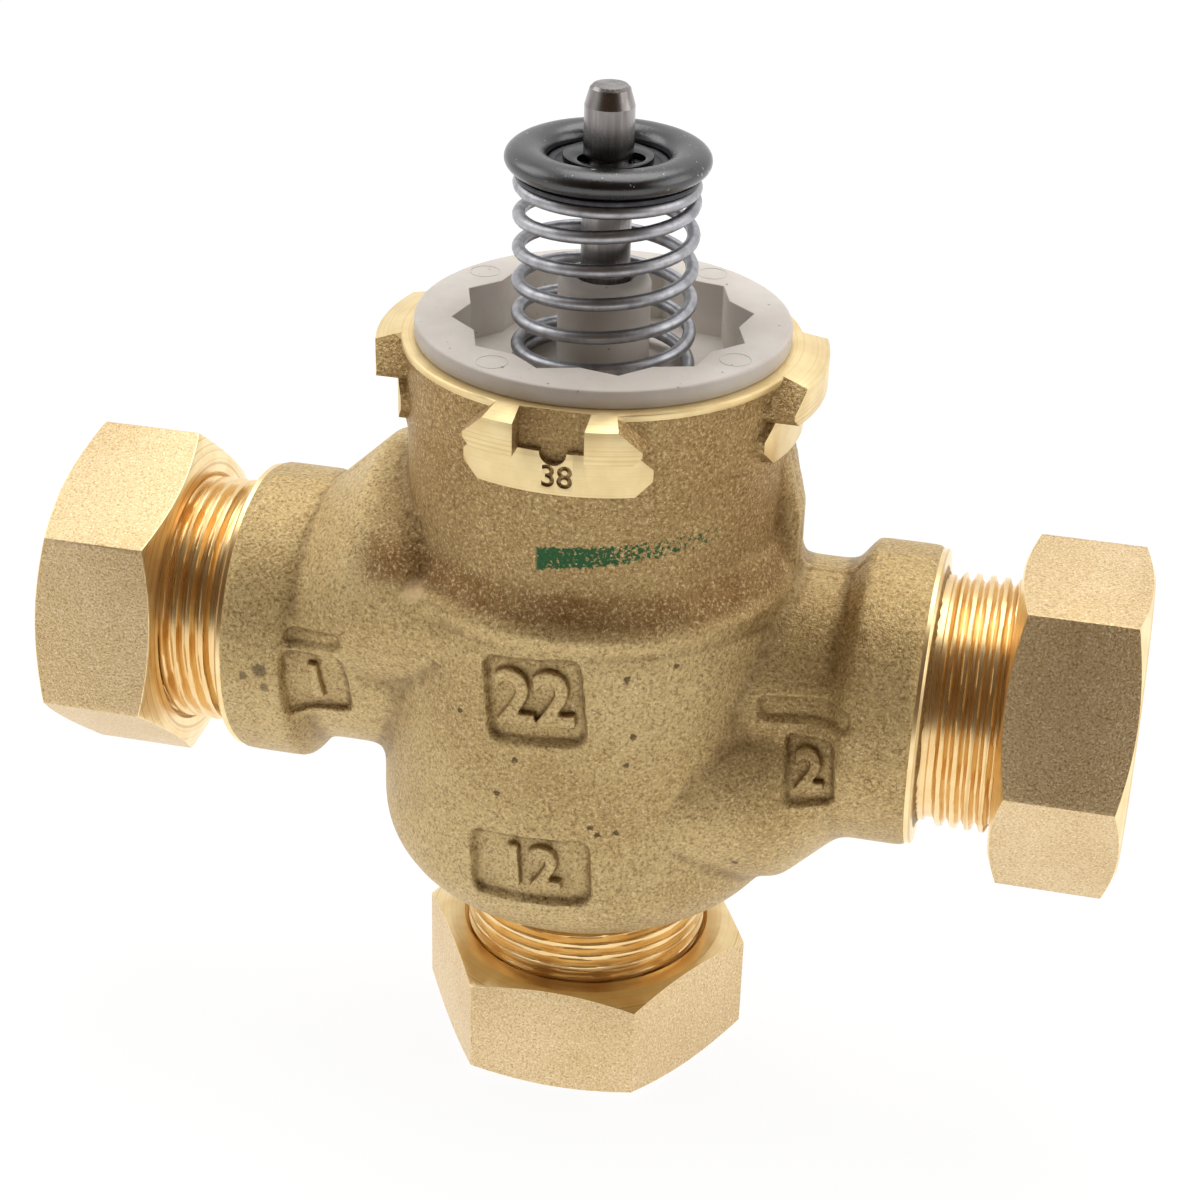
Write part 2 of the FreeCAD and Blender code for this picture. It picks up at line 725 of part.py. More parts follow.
def make_torus(name, radius, section_radius, height):
    """A rubber ring in its groove."""
    piece = doc.addObject("Part::Torus", name)
    tie(piece, Radius1=radius, Radius2=section_radius,
        Placement__Base__z="port_height + (%s)" % height)
    return piece


def make_bush():
    """The bush that holds the stem seals up in the gland."""
    body = new_body("gland_bush")
    turn(body, "bush_turned", [
        ("stem_radius + stem_play", "bush_bottom"), ("gland_bore - bush_play", "bush_bottom"),
        ("gland_bore - bush_play", "bush_top"), ("stem_radius + stem_play", "bush_top"),
    ])
    return place_on_stem_line(body)


def make_stem():
    """The ground steel stem: tapered tip, clip groove, shoulder and thin tail in the spool."""
    body = new_body("stem")
    groove = "stem_radius - clip_groove_depth"
    tail_groove_top = "hub_bottom - washer_thickness"
    turn(body, "stem_turned", [
        ("0", "stem_tail_end"),
        ("stem_tail_radius - stem_tail_chamfer", "stem_tail_end"),
        ("stem_tail_radius", "stem_tail_end + stem_tail_chamfer"),
        ("stem_tail_radius", tail_groove_top + " - clip_thickness"),
        ("stem_tail_radius - clip_groove_depth", tail_groove_top + " - clip_thickness"),
        ("stem_tail_radius - clip_groove_depth", tail_groove_top),
        ("stem_tail_radius", tail_groove_top),
        ("stem_tail_radius", "gland_bottom - hub_gap"),
        ("stem_radius", "gland_bottom - hub_gap"),
        ("stem_radius", "plate_top"),
        (groove, "plate_top"),
        (groove, "plate_top + clip_thickness"),
        ("stem_radius", "plate_top + clip_thickness"),
        ("stem_radius", "stem_top - stem_tip_height"),
        ("stem_tip_radius", "stem_top - stem_tip_round"),
        ("stem_tip_radius - stem_tip_round", "stem_top"),
        ("0", "stem_top"),
    ])
    return place_on_stem_line(body)


def make_clip(name, outer, inner, bottom, turn_angle):
    """An E-clip: a ring with a slot to push it on and two reliefs inside."""
    body = new_body(name)
    face = new_sketch(body, "XY_Plane", name + "_face", lift=bottom)
    ring(face, outer)
    ring(face, inner)
    plate = extrude(body, name + "_plate", face, "clip_thickness")
    slot = new_sketch(body, "XY_Plane", name + "_slot", lift="%s + clip_thickness" % bottom)
    half = "(%s) * clip_slot_share" % inner
    outline(slot, [("0", "-" + half), ("(%s) * 2" % outer, "-" + half), ("(%s) * 2" % outer, half),
                   ("0", half)])
    extrude(body, name + "_slot_cut", slot, "clip_thickness", cut=True)
    for side, sign in (("left", ""), ("right", "-")):
        relief = new_sketch(body, "XY_Plane", "%s_%s" % (name, side),
                            lift="%s + clip_thickness" % bottom)
        ring(relief, "(%s) * clip_relief_share" % outer, across="-(%s) * clip_relief_back" % outer,
             up="%s(%s) * clip_relief_side" % (sign, outer))
        extrude(body, "%s_%s_cut" % (name, side), relief, "clip_thickness", cut=True)
    body.Placement = FreeCAD.Placement(
        FreeCAD.Vector(), FreeCAD.Rotation(FreeCAD.Vector(0, 0, 1), turn_angle))
    return place_on_stem_line(body)


def make_plate():
    """The pressed cap on the spring, with a spigot that keeps the spring central."""
    body = new_body("spring_plate")
    turn(body, "plate_turned", [
        ("stem_radius + stem_play", "plate_bottom - plate_spigot_drop"),
        ("plate_spigot", "plate_bottom - plate_spigot_drop"),
        ("plate_spigot", "plate_bottom"),
        ("plate_flange", "plate_bottom"),
        ("plate_flange", "plate_bottom + plate_flange_height"),
        ("plate_radius", "plate_bottom + plate_flange_height"),
        ("plate_radius", "plate_top"),
        ("plate_groove_radius + plate_groove_half", "plate_top"),
        ("plate_groove_radius", "plate_top - plate_groove_depth"),
        ("plate_groove_radius - plate_groove_half", "plate_top"),
        ("stem_radius + stem_play", "plate_top"),
    ])
    return place_on_stem_line(body)


def make_bumper():
    """The oval rubber ring round the cap."""
    oval = doc.addObject("Part::Ellipse", "bumper_section")
    oval.Placement = FreeCAD.Placement(FreeCAD.Vector(), TURN_TO_FRONT)
    tie(oval, MajorRadius="bumper_half_width", MinorRadius="bumper_half_height",
        Placement__Base__x="bumper_radius")
    piece = doc.addObject("Part::Revolution", "bumper_ring")
    piece.Source = oval
    piece.Axis = FreeCAD.Vector(0, 0, 1)
    piece.Angle = FULL_TURN
    piece.Solid = True
    tie(piece, Placement__Base__z="port_height + plate_bottom + plate_flange_height"
                                  " + bumper_half_height")
    return piece


def wire_corners(radius, wire, angle, height, sides):
    """The corners of the spring wire's section at an angle round the stem line."""
    outwards = FreeCAD.Vector(math.cos(angle), math.sin(angle), 0)
    upwards = FreeCAD.Vector(0, 0, 1)
    corners = []
    for step in range(sides):
        turned = 2 * math.pi * step / sides
        corners.append(outwards * (radius + wire * math.cos(turned))
                       + upwards * (height + wire * math.sin(turned)))
    return corners


def make_spring():
    """The return spring: a wire of flat facets along a helix, from the socket floor to the cap."""
    wire = sheet.get("spring_wire")
    length = (sheet.get("plate_bottom") - sheet.get("socket_floor")
              - 2 * sheet.get("spring_gap") - 2 * wire)
    coils = sheet.get("spring_coils")
    sides = int(sheet.get("spring_wire_sides"))
    steps = int(round(coils * sheet.get("spring_steps")))
    rows = [wire_corners(sheet.get("spring_radius"), wire, 2 * math.pi * coils * step / steps,
                         length * step / steps, sides) for step in range(steps + 1)]
    facets = [Part.Face(Part.makePolygon(row + row[:1])) for row in (rows[0], rows[-1])]
    for low, high in zip(rows[:-1], rows[1:]):
        for side in range(sides):
            after = (side + 1) % sides
            for corners in ((low[side], low[after], high[after]),
                            (low[side], high[after], high[side])):
                facets.append(Part.Face(Part.makePolygon(corners + corners[:1])))
    piece = doc.addObject("Part::Feature", "return_spring")
    piece.Shape = Part.makeSolid(Part.makeShell(facets))
    tie(piece, Placement__Base__z="port_height + socket_floor + spring_gap + spring_wire")
    return piece


def make_spool():
    """The hollow spool: a seal at each end, spokes, and a hub for the stem."""
    body = new_body("spool")
    outside = "sleeve_bore - spool_play"
    floor = "sleeve_bore - spool_play - 2 * spool_seal_section"
    half = "spool_seal_section + groove_margin"
    corners = [("spool_bore", "-spool_bottom"), (outside, "-spool_bottom")]
    for height in ("(-spool_bottom + spool_seal_inset)", "(spool_top - spool_seal_inset)"):
        corners += [(outside, "%s - (%s)" % (height, half)), (floor, "%s - (%s)" % (height, half)),
                    (floor, "%s + (%s)" % (height, half)), (outside, "%s + (%s)" % (height, half))]
    corners += [(outside, "spool_top"), ("spool_bore", "spool_top")]
    turn(body, "spool_wall", corners)
    spokes = new_sketch(body, "XY_Plane", "spool_spoke_face", lift="hub_bottom")
    outline(spokes, [("hub_radius / 2", "-spoke_half"), ("spool_bore + spoke_overlap", "-spoke_half"),
                     ("spool_bore + spoke_overlap", "spoke_half"), ("hub_radius / 2", "spoke_half")])
    spoke = extrude(body, "spool_spoke", spokes, "spoke_top - hub_bottom")
    repeat_round(body, "spool_spokes", [spoke], "spoke_count")
    hub = new_sketch(body, "XY_Plane", "spool_hub_face", lift="hub_bottom")
    ring(hub, "hub_radius")
    hub_pad = extrude(body, "spool_hub", hub, "gland_bottom - hub_gap - hub_bottom")
    bore = new_sketch(body, "XY_Plane", "spool_bore_face", lift="gland_bottom - hub_gap")
    ring(bore, "stem_tail_radius + stem_play")
    body.Tip = hub_pad
    extrude(body, "spool_hub_bore", bore, "gland_bottom - hub_gap - hub_bottom", cut=True)
    return place_on_stem_line(body)


def make_washer():
    """The washer under the spool's hub."""
    body = new_body("spool_washer")
    turn(body, "washer_turned", [
        ("stem_tail_radius + stem_play", "hub_bottom - washer_thickness"),
        ("washer_radius", "hub_bottom - washer_thickness"),
        ("washer_radius", "hub_bottom"),
        ("stem_tail_radius + stem_play", "hub_bottom"),
    ])
    return place_on_stem_line(body)


def make_pieces():
    """Every piece of the valve, in the order of a parts list."""
    pieces = [make_valve_body()]
    for port in ("a", "b", "ab"):
        pieces += [make_olive(port), make_nut(port)]
    pieces.append(make_sleeve())
    for name, height in (("sleeve_seal_upper", "sleeve_seal_upper_height"),
                         ("sleeve_seal_middle", "sleeve_seal_middle_height"),
                         ("sleeve_seal_lower", "-sleeve_seal_lower_depth")):
        pieces.append(make_torus(name, "land_radius - ring_play - sleeve_seal_section",
                                 "sleeve_seal_section - seal_play", height))
    pieces.append(make_bonnet())
    pieces.append(make_torus("bonnet_seal", "bonnet_bore - ring_play - bonnet_seal_section",
                             "bonnet_seal_section - seal_play", "bonnet_seal_height"))
    for name in ("stem_seal_upper", "stem_seal_lower"):
        pieces.append(make_torus(name, "(stem_radius + gland_bore) / 2",
                                 "stem_seal_section - seal_play", name + "_height"))
    pieces.append(make_bush())
    pieces.append(make_spring())
    pieces.append(make_stem())
    pieces.append(make_plate())
    pieces.append(make_bumper())
    pieces.append(make_clip("stem_clip", "clip_radius", "stem_radius - clip_groove_depth + clip_play",
                            "plate_top", SIZES["clip_turn"]))
    pieces.append(make_spool())
    for name, height in (("spool_seal_upper", "spool_top - spool_seal_inset"),
                         ("spool_seal_lower", "-spool_bottom + spool_seal_inset")):
        pieces.append(make_torus(name, "sleeve_bore - spool_play - spool_seal_section",
                                 "spool_seal_section - seal_play", height))
    pieces.append(make_washer())
    pieces.append(make_clip("spool_clip", "tail_clip_radius",
                            "stem_tail_radius - clip_groove_depth + clip_play",
                            "(hub_bottom - washer_thickness - clip_thickness)", 0.0))
    return pieces


def check_and_export(pieces):
    """Stop on any failed object or bad solid, then write one file for each piece."""
    doc.recompute()
    for thing in doc.Objects:
        if "Invalid" in thing.State or "Error" in thing.State:
            raise RuntimeError("%s did not build: %s" % (thing.Name, thing.State))
    os.makedirs("parts", exist_ok=True)
    for piece in pieces:
        piece.Label = piece.Name
        shape = piece.Shape
        if shape.isNull() or not shape.isValid():
            raise RuntimeError("%s is not a valid solid" % piece.Name)
        shape.exportStep("parts/%s.step" % piece.Label)
        print("%-20s %d solid(s) %10.1f mm3" % (piece.Label, len(shape.Solids), shape.Volume))


check_and_export(make_pieces())
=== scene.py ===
# %% [markdown]
# The object is a three-way diverter valve: a bead-blasted brass casting with a compression nut at
# each port, a moulded bonnet on top, and a sprung steel stem that an actuator presses down.
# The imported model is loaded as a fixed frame, and every piece below is placed by its sizes.
# Sizes are written in millimetres and heights are counted from the side ports' axis. They are
# multiplied by MM where they meet Blender's metres.

# %% Load the frame
import math

import bmesh
import bpy
import numpy as np
from mathutils import Matrix, Vector
from mathutils.bvhtree import BVHTree


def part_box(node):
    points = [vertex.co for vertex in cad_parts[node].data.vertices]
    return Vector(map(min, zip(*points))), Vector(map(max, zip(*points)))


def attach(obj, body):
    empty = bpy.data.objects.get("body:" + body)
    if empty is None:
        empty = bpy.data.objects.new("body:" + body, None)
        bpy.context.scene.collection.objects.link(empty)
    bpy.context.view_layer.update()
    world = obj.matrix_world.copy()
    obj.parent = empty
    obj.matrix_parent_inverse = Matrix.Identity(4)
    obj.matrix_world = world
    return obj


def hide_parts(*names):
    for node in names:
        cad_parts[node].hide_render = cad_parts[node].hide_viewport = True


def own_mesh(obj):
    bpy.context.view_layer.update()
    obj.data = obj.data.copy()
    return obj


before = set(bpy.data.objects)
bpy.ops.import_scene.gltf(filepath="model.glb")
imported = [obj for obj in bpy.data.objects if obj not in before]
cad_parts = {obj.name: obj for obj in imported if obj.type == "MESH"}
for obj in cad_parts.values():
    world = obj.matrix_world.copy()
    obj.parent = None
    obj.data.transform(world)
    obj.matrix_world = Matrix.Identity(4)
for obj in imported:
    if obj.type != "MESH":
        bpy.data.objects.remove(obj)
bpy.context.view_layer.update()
MM = 0.001
PORT_Z = 47.65 * MM
PORT_CENTRE = (0.0, 0.0, PORT_Z / MM)


def row_point(place):
    """A point given in millimetres from the port axis, in the frame's metres."""
    return (place[0] * MM, place[1] * MM, PORT_Z + place[2] * MM)


# %% [markdown]
# The camera stands where the photograph's stood. Its direction, distance and lens come from the
# ellipses of the nuts, flange and stem, and it leans a little, so its own axes are written out.

# %% Camera
VIEW_AZIMUTH = math.radians(12.32)
VIEW_ELEVATION = math.radians(28.51)
VIEW_ROLL = math.radians(1.75)
VIEW_DISTANCE = 266.4 * MM
VIEW_TARGET = Vector((0.51 * MM, 0.0, PORT_Z + 6.12 * MM))
LENS = 74.64
SENSOR = 36.0


def add_camera():
    """The photograph's viewpoint, as three axes and a place."""
    back = Vector((math.sin(VIEW_AZIMUTH) * math.cos(VIEW_ELEVATION),
                   -math.cos(VIEW_AZIMUTH) * math.cos(VIEW_ELEVATION),
                   math.sin(VIEW_ELEVATION)))
    level = back.cross(Vector((0, 0, 1))).normalized() * -1
    upright = back.cross(level)
    right = level * math.cos(VIEW_ROLL) + upright * math.sin(VIEW_ROLL)
    up = back.cross(right)
    bpy.ops.object.camera_add()
    camera = bpy.context.object
    camera.name = "photo_camera"
    turned = Matrix((right, up, back)).transposed().to_4x4()
    camera.matrix_world = Matrix.Translation(VIEW_TARGET + back * VIEW_DISTANCE) @ turned
    camera.data.lens = LENS
    camera.data.sensor_width = SENSOR
    camera.data.clip_start = 0.01
    bpy.context.scene.camera = camera
    print("camera at", [round(c, 4) for c in camera.location])


add_camera()

# %% [markdown]
# Every finish below is built from the same few parts: a noise in the object's own metres, a ramp
# that turns it into colours, and a bump. A small writer of nodes keeps each finish short to read.

# %% A helper that writes a material


def srgb(red, green, blue):
    """A colour given as on a screen, 0 to 255, in the linear light that shaders use."""
    def linear(value):
        value /= 255
        return value / 12.92 if value <= 0.04045 else ((value + 0.055) / 1.055) ** 2.4
    return (linear(red), linear(green), linear(blue), 1.0)


class Finish:
    """A material under construction, with short names for the nodes that the finishes share."""

    def __init__(self, name, **shader):
        self.material = bpy.data.materials.new(name)
        self.material.use_nodes = True
        self.nodes = self.material.node_tree.nodes
        self.links = self.material.node_tree.links
        self.shader = self.nodes["Principled BSDF"]
        self.place = self.nodes.new("ShaderNodeTexCoord").outputs["Object"]
        for key, value in shader.items():
            self.shader.inputs[key.replace("_", " ")].default_value = value

    def noise(self, scale, detail=3.0, rough=0.55, stretch=None, place=None):
        """Noise with so many lumps to the metre, drawn out along an axis if asked."""
        node = self.nodes.new("ShaderNodeTexNoise")
        node.inputs["Scale"].default_value = scale
        node.inputs["Detail"].default_value = detail
        node.inputs["Roughness"].default_value = rough
        source = place or self.place
        if stretch:
            mapping = self.nodes.new("ShaderNodeMapping")
            mapping.inputs["Scale"].default_value = stretch
            self.links.new(source, mapping.inputs[0])
            source = mapping.outputs[0]
        self.links.new(source, node.inputs["Vector"])
        return node.outputs["Fac"]

    def give(self, socket, value):
        """Set a socket to a number or a colour, or link another node's output to it."""
        if isinstance(value, (int, float, tuple)):
            socket.default_value = value
        else:
            self.links.new(value, socket)

    def ramp(self, value, *stops):
        """Colours at positions from 0 to 1."""
        node = self.nodes.new("ShaderNodeValToRGB")
        band = node.color_ramp
        while len(band.elements) < len(stops):
            band.elements.new(0.5)
        for element, (at, colour) in zip(band.elements, stops):
            element.position = at
            element.color = colour
        self.links.new(value, node.inputs[0])
        return node.outputs[0]

    def maths(self, kind, first, second=0.0, third=0.0, clamp=False):
        """One arithmetic step; each value is a number or another node's output."""
        node = self.nodes.new("ShaderNodeMath")
        node.operation = kind
        node.use_clamp = clamp
        for socket, value in zip(node.inputs, (first, second, third)):
            self.give(socket, value)
        return node.outputs[0]

    def mix(self, share, first, second):
        """Two colours mixed by a share from 0 to 1."""
        node = self.nodes.new("ShaderNodeMix")
        node.data_type = "RGBA"
        node.clamp_factor = True
        for number, value in ((0, share), (6, first), (7, second)):
            self.give(node.inputs[number], value)
        return node.outputs[2]

    def over(self, base, share, strength, colour):
        """A colour laid over the base where a share says so, and as strongly as given."""
        return self.mix(self.maths("MULTIPLY", share, strength), base, colour)

    def rest(self, share):
        """What a share leaves of 1."""
        return self.maths("SUBTRACT", 1.0, share)

    def step(self, value, low, high):
        """A smooth rise from 0 at low to 1 at high."""
        node = self.nodes.new("ShaderNodeMapRange")
        node.interpolation_type = "SMOOTHSTEP"
        node.inputs["From Min"].default_value = low
        node.inputs["From Max"].default_value = high
        self.links.new(value, node.inputs["Value"])
        return node.outputs[0]

    def band(self, value, middle, full, none):
        """1 near a middle value, out to the distance full, fading to 0 at the distance none."""
        off = self.maths("ABSOLUTE", self.maths("SUBTRACT", value, middle))
        return self.rest(self.step(off, full, none))

    def axes(self):
        """The object's own x, y and z in metres."""
        node = self.nodes.new("ShaderNodeSeparateXYZ")
        self.links.new(self.place, node.inputs[0])
        return node.outputs

    def near(self, centre, radius, soft, wobble=None):
        """1 near a point, in millimetres from the port axis, with an uneven edge if asked."""
        radius *= MM
        node = self.nodes.new("ShaderNodeVectorMath")
        node.operation = "DISTANCE"
        node.inputs[1].default_value = row_point(centre)
        self.links.new(self.place, node.inputs[0])
        gap = node.outputs["Value"]
        if wobble is not None:
            gap = self.maths("MULTIPLY_ADD", self.maths("SUBTRACT", wobble, 0.5), 2.0 * radius, gap)
        return self.rest(self.step(gap, radius * (1 - soft), radius * (1 + soft)))

    def colour(self, value):
        """The colour of the surface."""
        self.links.new(value, self.shader.inputs["Base Color"])

    def roughness(self, value, low, high):
        """Roughness between two limits, driven by a value from 0 to 1."""
        spread = self.maths("MULTIPLY_ADD", value, high - low, low)
        self.links.new(spread, self.shader.inputs["Roughness"])

    def bump(self, *layers):
        """Bumps laid one on another: (value, strength, height in metres)."""
        last = None
        for value, strength, height in layers:
            node = self.nodes.new("ShaderNodeBump")
            node.inputs["Strength"].default_value = strength
            node.inputs["Distance"].default_value = height
            self.links.new(value, node.inputs["Height"])
            if last is not None:
                self.links.new(last, node.inputs["Normal"])
            last = node.outputs[0]
        self.links.new(last, self.shader.inputs["Normal"])


print("brass as 194, 168, 116 on a screen is", [round(part, 3) for part in srgb(194, 168, 116)[:3]])

# %% [markdown]
# The valve seems to stand in a white tent, with a darker room behind the camera. Walls could be
# modelled, but a world is simpler: its colour depends on the direction alone. It is white all
# round and turns dark brown towards the camera, both for the light that falls on the valve and
# for what the metal mirrors. The camera itself looks at plain white.

# %% The room
bpy.context.scene.view_settings.view_transform = "Standard"
ROOM_LIGHT = 0.70
MIRRORED_ROOM = 1.02
DARK_SIDE = (0.095, 0.055, 0.024, 1)
DARK_TOWARDS = (0.171, -0.781, 0.600)
DARK_BEGINS = 0.22
DARK_FULL = 0.80


def mix_by(nodes, links, share, first, second):
    """One of two shaders, by a share from 0 to 1."""
    mix = nodes.new("ShaderNodeMixShader")
    links.new(share, mix.inputs[0])
    links.new(first, mix.inputs[1])
    links.new(second, mix.inputs[2])
    return mix.outputs[0]


def backdrop(nodes, strength):
    """A plain white light of a given strength."""
    node = nodes.new("ShaderNodeBackground")
    node.inputs["Color"].default_value = (1, 1, 1, 1)
    node.inputs["Strength"].default_value = strength
    return node


def make_world():
    """White for the camera; the valve is lit by, and mirrors, a tent that is dark in front."""
    world = bpy.data.worlds.new("light_tent")
    bpy.context.scene.world = world
    world.use_nodes = True
    nodes, links = world.node_tree.nodes, world.node_tree.links
    nodes.clear()
    out = nodes.new("ShaderNodeOutputWorld")
    place = nodes.new("ShaderNodeTexCoord")
    facing = nodes.new("ShaderNodeVectorMath")
    facing.operation = "DOT_PRODUCT"
    facing.inputs[1].default_value = DARK_TOWARDS
    links.new(place.outputs["Generated"], facing.inputs[0])
    ramp = nodes.new("ShaderNodeValToRGB")
    ramp.color_ramp.interpolation = "EASE"
    ramp.color_ramp.elements[0].position = DARK_BEGINS
    ramp.color_ramp.elements[0].color = (1, 1, 1, 1)
    ramp.color_ramp.elements[1].position = DARK_FULL
    ramp.color_ramp.elements[1].color = DARK_SIDE
    links.new(facing.outputs["Value"], ramp.inputs[0])
    mirrored = backdrop(nodes, MIRRORED_ROOM)
    soft = backdrop(nodes, ROOM_LIGHT)
    for light in (mirrored, soft):
        links.new(ramp.outputs[0], light.inputs["Color"])
    path = nodes.new("ShaderNodeLightPath")
    lit = mix_by(nodes, links, path.outputs["Is Glossy Ray"], soft.outputs[0], mirrored.outputs[0])
    seen = mix_by(nodes, links, path.outputs["Is Camera Ray"], lit, backdrop(nodes, 1.0).outputs[0])
    links.new(seen, out.inputs[0])


make_world()
print("room light", ROOM_LIGHT, "and", MIRRORED_ROOM, "where it is mirrored")

# %% [markdown]
# Three large soft lamps stand left, right and above. A large lamp close by gives wide, even
# highlights, as the tent's cloth does, and keeps the shadows soft.

# %% Lamps
LAMPS = (
    # name, place in metres, size in metres, watts
    ("key", (-0.46, 0.04, 0.42), 0.34, 0.8),
    ("fill", (0.50, 0.02, 0.32), 0.40, 0.9),
    ("top", (0.02, 0.18, 0.62), 0.46, 1.8),
)


def add_lamps():
    """Square area lamps, each turned to face the valve."""
    for name, place, size, watts in LAMPS:
        bpy.ops.object.light_add(type="AREA", location=place)
        lamp = bpy.context.object
        lamp.name = name + "_lamp"
        lamp.data.size = size
        lamp.data.energy = watts
        towards = Vector((0, 0, PORT_Z)) - Vector(place)
        lamp.rotation_euler = towards.to_track_quat("-Z", "Y").to_euler()
        print(lamp.name, watts, "watts")


add_lamps()

# %% [markdown]
# The valve stands on white paper. Under a plain light white paper renders pale grey, so the floor
# also glows, but only where the camera or a mirroring surface looks at it. The glow puts no light
# on the valve's matt parts, and the part of the floor that doesn't glow takes the valve's shadow.

# %% Floor
FLOOR_WHITE = 0.86
FLOOR_SEEN = 1.06
FLOOR_MIRRORED = 0.32
GLOWING_SHARE = 0.88
FLOOR_SIZE = 4000 * MM
FLOOR_HEIGHT = -0.1 * MM


def add_floor():
    """A pale floor that keeps a soft shadow under the valve."""
    bpy.ops.mesh.primitive_plane_add(size=FLOOR_SIZE, location=(0, 0, FLOOR_HEIGHT))
    floor = bpy.context.object
    floor.name = "floor"
    paper = Finish("white_floor", Base_Color=(FLOOR_WHITE, FLOOR_WHITE, FLOOR_WHITE, 1), Roughness=0.9)
    path = paper.nodes.new("ShaderNodeLightPath")
    seen, mirrored = path.outputs["Is Camera Ray"], path.outputs["Is Glossy Ray"]
    glow = paper.nodes.new("ShaderNodeEmission")
    strength = paper.maths("MULTIPLY_ADD", mirrored, FLOOR_MIRRORED, FLOOR_SEEN)
    paper.links.new(strength, glow.inputs["Strength"])
    share = paper.maths("MULTIPLY", paper.maths("MAXIMUM", seen, mirrored), GLOWING_SHARE)
    mixed = mix_by(paper.nodes, paper.links, share, paper.shader.outputs[0], glow.outputs[0])
    paper.links.new(mixed, paper.nodes["Material Output"].inputs["Surface"])
    floor.data.materials.append(paper.material)


add_floor()
print("floor", FLOOR_SIZE, "metres wide")

# %% [markdown]
# The real valve was used: there are small pits, a few stains, a rubbed spot and a patch of fine
# cracks on its front. A painted picture could hold them, but spots placed by points on the casting
# stay with it in every view and need no picture.

# %% Pits, stains and cracks
PITS = ((-9.27, -20.21, 2.51), (-2.94, -22.13, -1.24), (-4.86, -21.89, -5.69), (4.99, -21.94, -8.18),
        (5.71, -21.77, -9.02), (7.56, -21.21, -8.81), (8.24, -20.73, -0.79), (8.79, -20.43, 2.43),
        (12.5, -18.19, 9.98), (19.18, -15.69, -14.05), (7.99, -20.58, 9.01))
PIT_RADIUS = 0.32
STAINS = (
    # place, radius, strength
    ((-32.5, -15.96, 1.1), 0.8, 0.7),
    ((-34.2, -15.9, 0.2), 0.4, 0.6),
    ((-31.9, -15.9, -0.9), 0.45, 0.6),
)
BRIGHT_SPOT = (-15.14, -16.9, 13.77)
BRIGHT_RADIUS = 1.3
CRACKED = (34.3, -16.0, -0.8)
CRACKED_RADIUS = 3.2
VEIN_HALF, VEIN_FADED = 0.004, 0.018


def add_marks(finish, base, grain):
    """Pits, stains, a rubbed spot and fine cracks, laid over the metal."""
    for place in PITS:
        pit = finish.near(place, PIT_RADIUS, 0.35, wobble=grain)
        base = finish.over(base, pit, 0.8, srgb(70, 48, 28))
    for place, radius, dark in STAINS:
        stain = finish.near(place, radius, 0.3, wobble=finish.noise(900.0, 3.0))
        base = finish.over(base, stain, dark, srgb(92, 76, 58))
    spot = finish.near(BRIGHT_SPOT, BRIGHT_RADIUS, 0.4, wobble=finish.noise(700.0, 2.0))
    base = finish.over(base, spot, 0.5, srgb(228, 200, 156))
    vein = finish.band(finish.noise(520.0, 2.0), 0.5, VEIN_HALF, VEIN_FADED)
    cracked = finish.maths("MULTIPLY", vein, finish.near(CRACKED, CRACKED_RADIUS, 0.3))
    return finish.over(base, cracked, 0.6, srgb(90, 66, 40))


print(len(PITS), "pits and", len(STAINS), "stains")

# %% [markdown]
# Someone drew a short stroke of green marker round the neck. It starts thick and wet, climbs to
# the right, and gets thin and dry towards its end. The angle round the stem says how far along the
# stroke a point is, and everything else follows from that.

# %% The marker's stroke
INK_STARTS = math.radians(-5.5)
INK_ENDS = math.radians(50)
INK_HEIGHT = 20.6
INK_CLIMB = 2.0
INK_CURVE = 0.7
INK_HALF_WIDTH = 1.35
INK_THINS = 0.65
INK_RAGGED = 1.6
INK_WET = 0.37
INK_DRIES = 0.24


def marker_stroke(finish):
    """The share of green ink at each point."""
    x, y, z = finish.axes()
    angle = finish.maths("ARCTAN2", x, finish.maths("MULTIPLY", y, -1.0))
    along = finish.maths("DIVIDE", finish.maths("SUBTRACT", angle, INK_STARTS), INK_ENDS - INK_STARTS)
    climbed = finish.maths("POWER", finish.maths("MAXIMUM", along, 0.0), INK_CURVE)
    middle = finish.maths("MULTIPLY_ADD", climbed, INK_CLIMB * MM, PORT_Z + INK_HEIGHT * MM)
    half = finish.maths("MULTIPLY_ADD", along, -INK_THINS * MM, INK_HALF_WIDTH * MM)
    ragged = finish.maths("SUBTRACT", finish.noise(1500.0, 4.0, 0.7), 0.5)
    off = finish.maths("MULTIPLY_ADD", ragged, INK_RAGGED * MM,
                       finish.maths("ABSOLUTE", finish.maths("SUBTRACT", z, middle)))
    inside = finish.rest(finish.step(finish.maths("DIVIDE", off, half), 0.85, 1.05))
    ends = finish.maths("MULTIPLY", finish.step(along, 0.0, 0.02),
                        finish.rest(finish.step(along, 0.96, 1.0)))
    limit = finish.maths("MULTIPLY_ADD", along, INK_DRIES, INK_WET)
    covered = finish.step(finish.maths("SUBTRACT", finish.noise(2600.0, 3.0, 0.65), limit), -0.05, 0.03)
    return finish.maths("MULTIPLY", finish.maths("MULTIPLY", inside, ends), covered)


print("marker's stroke", round(math.degrees(INK_ENDS - INK_STARTS), 1), "degrees long")
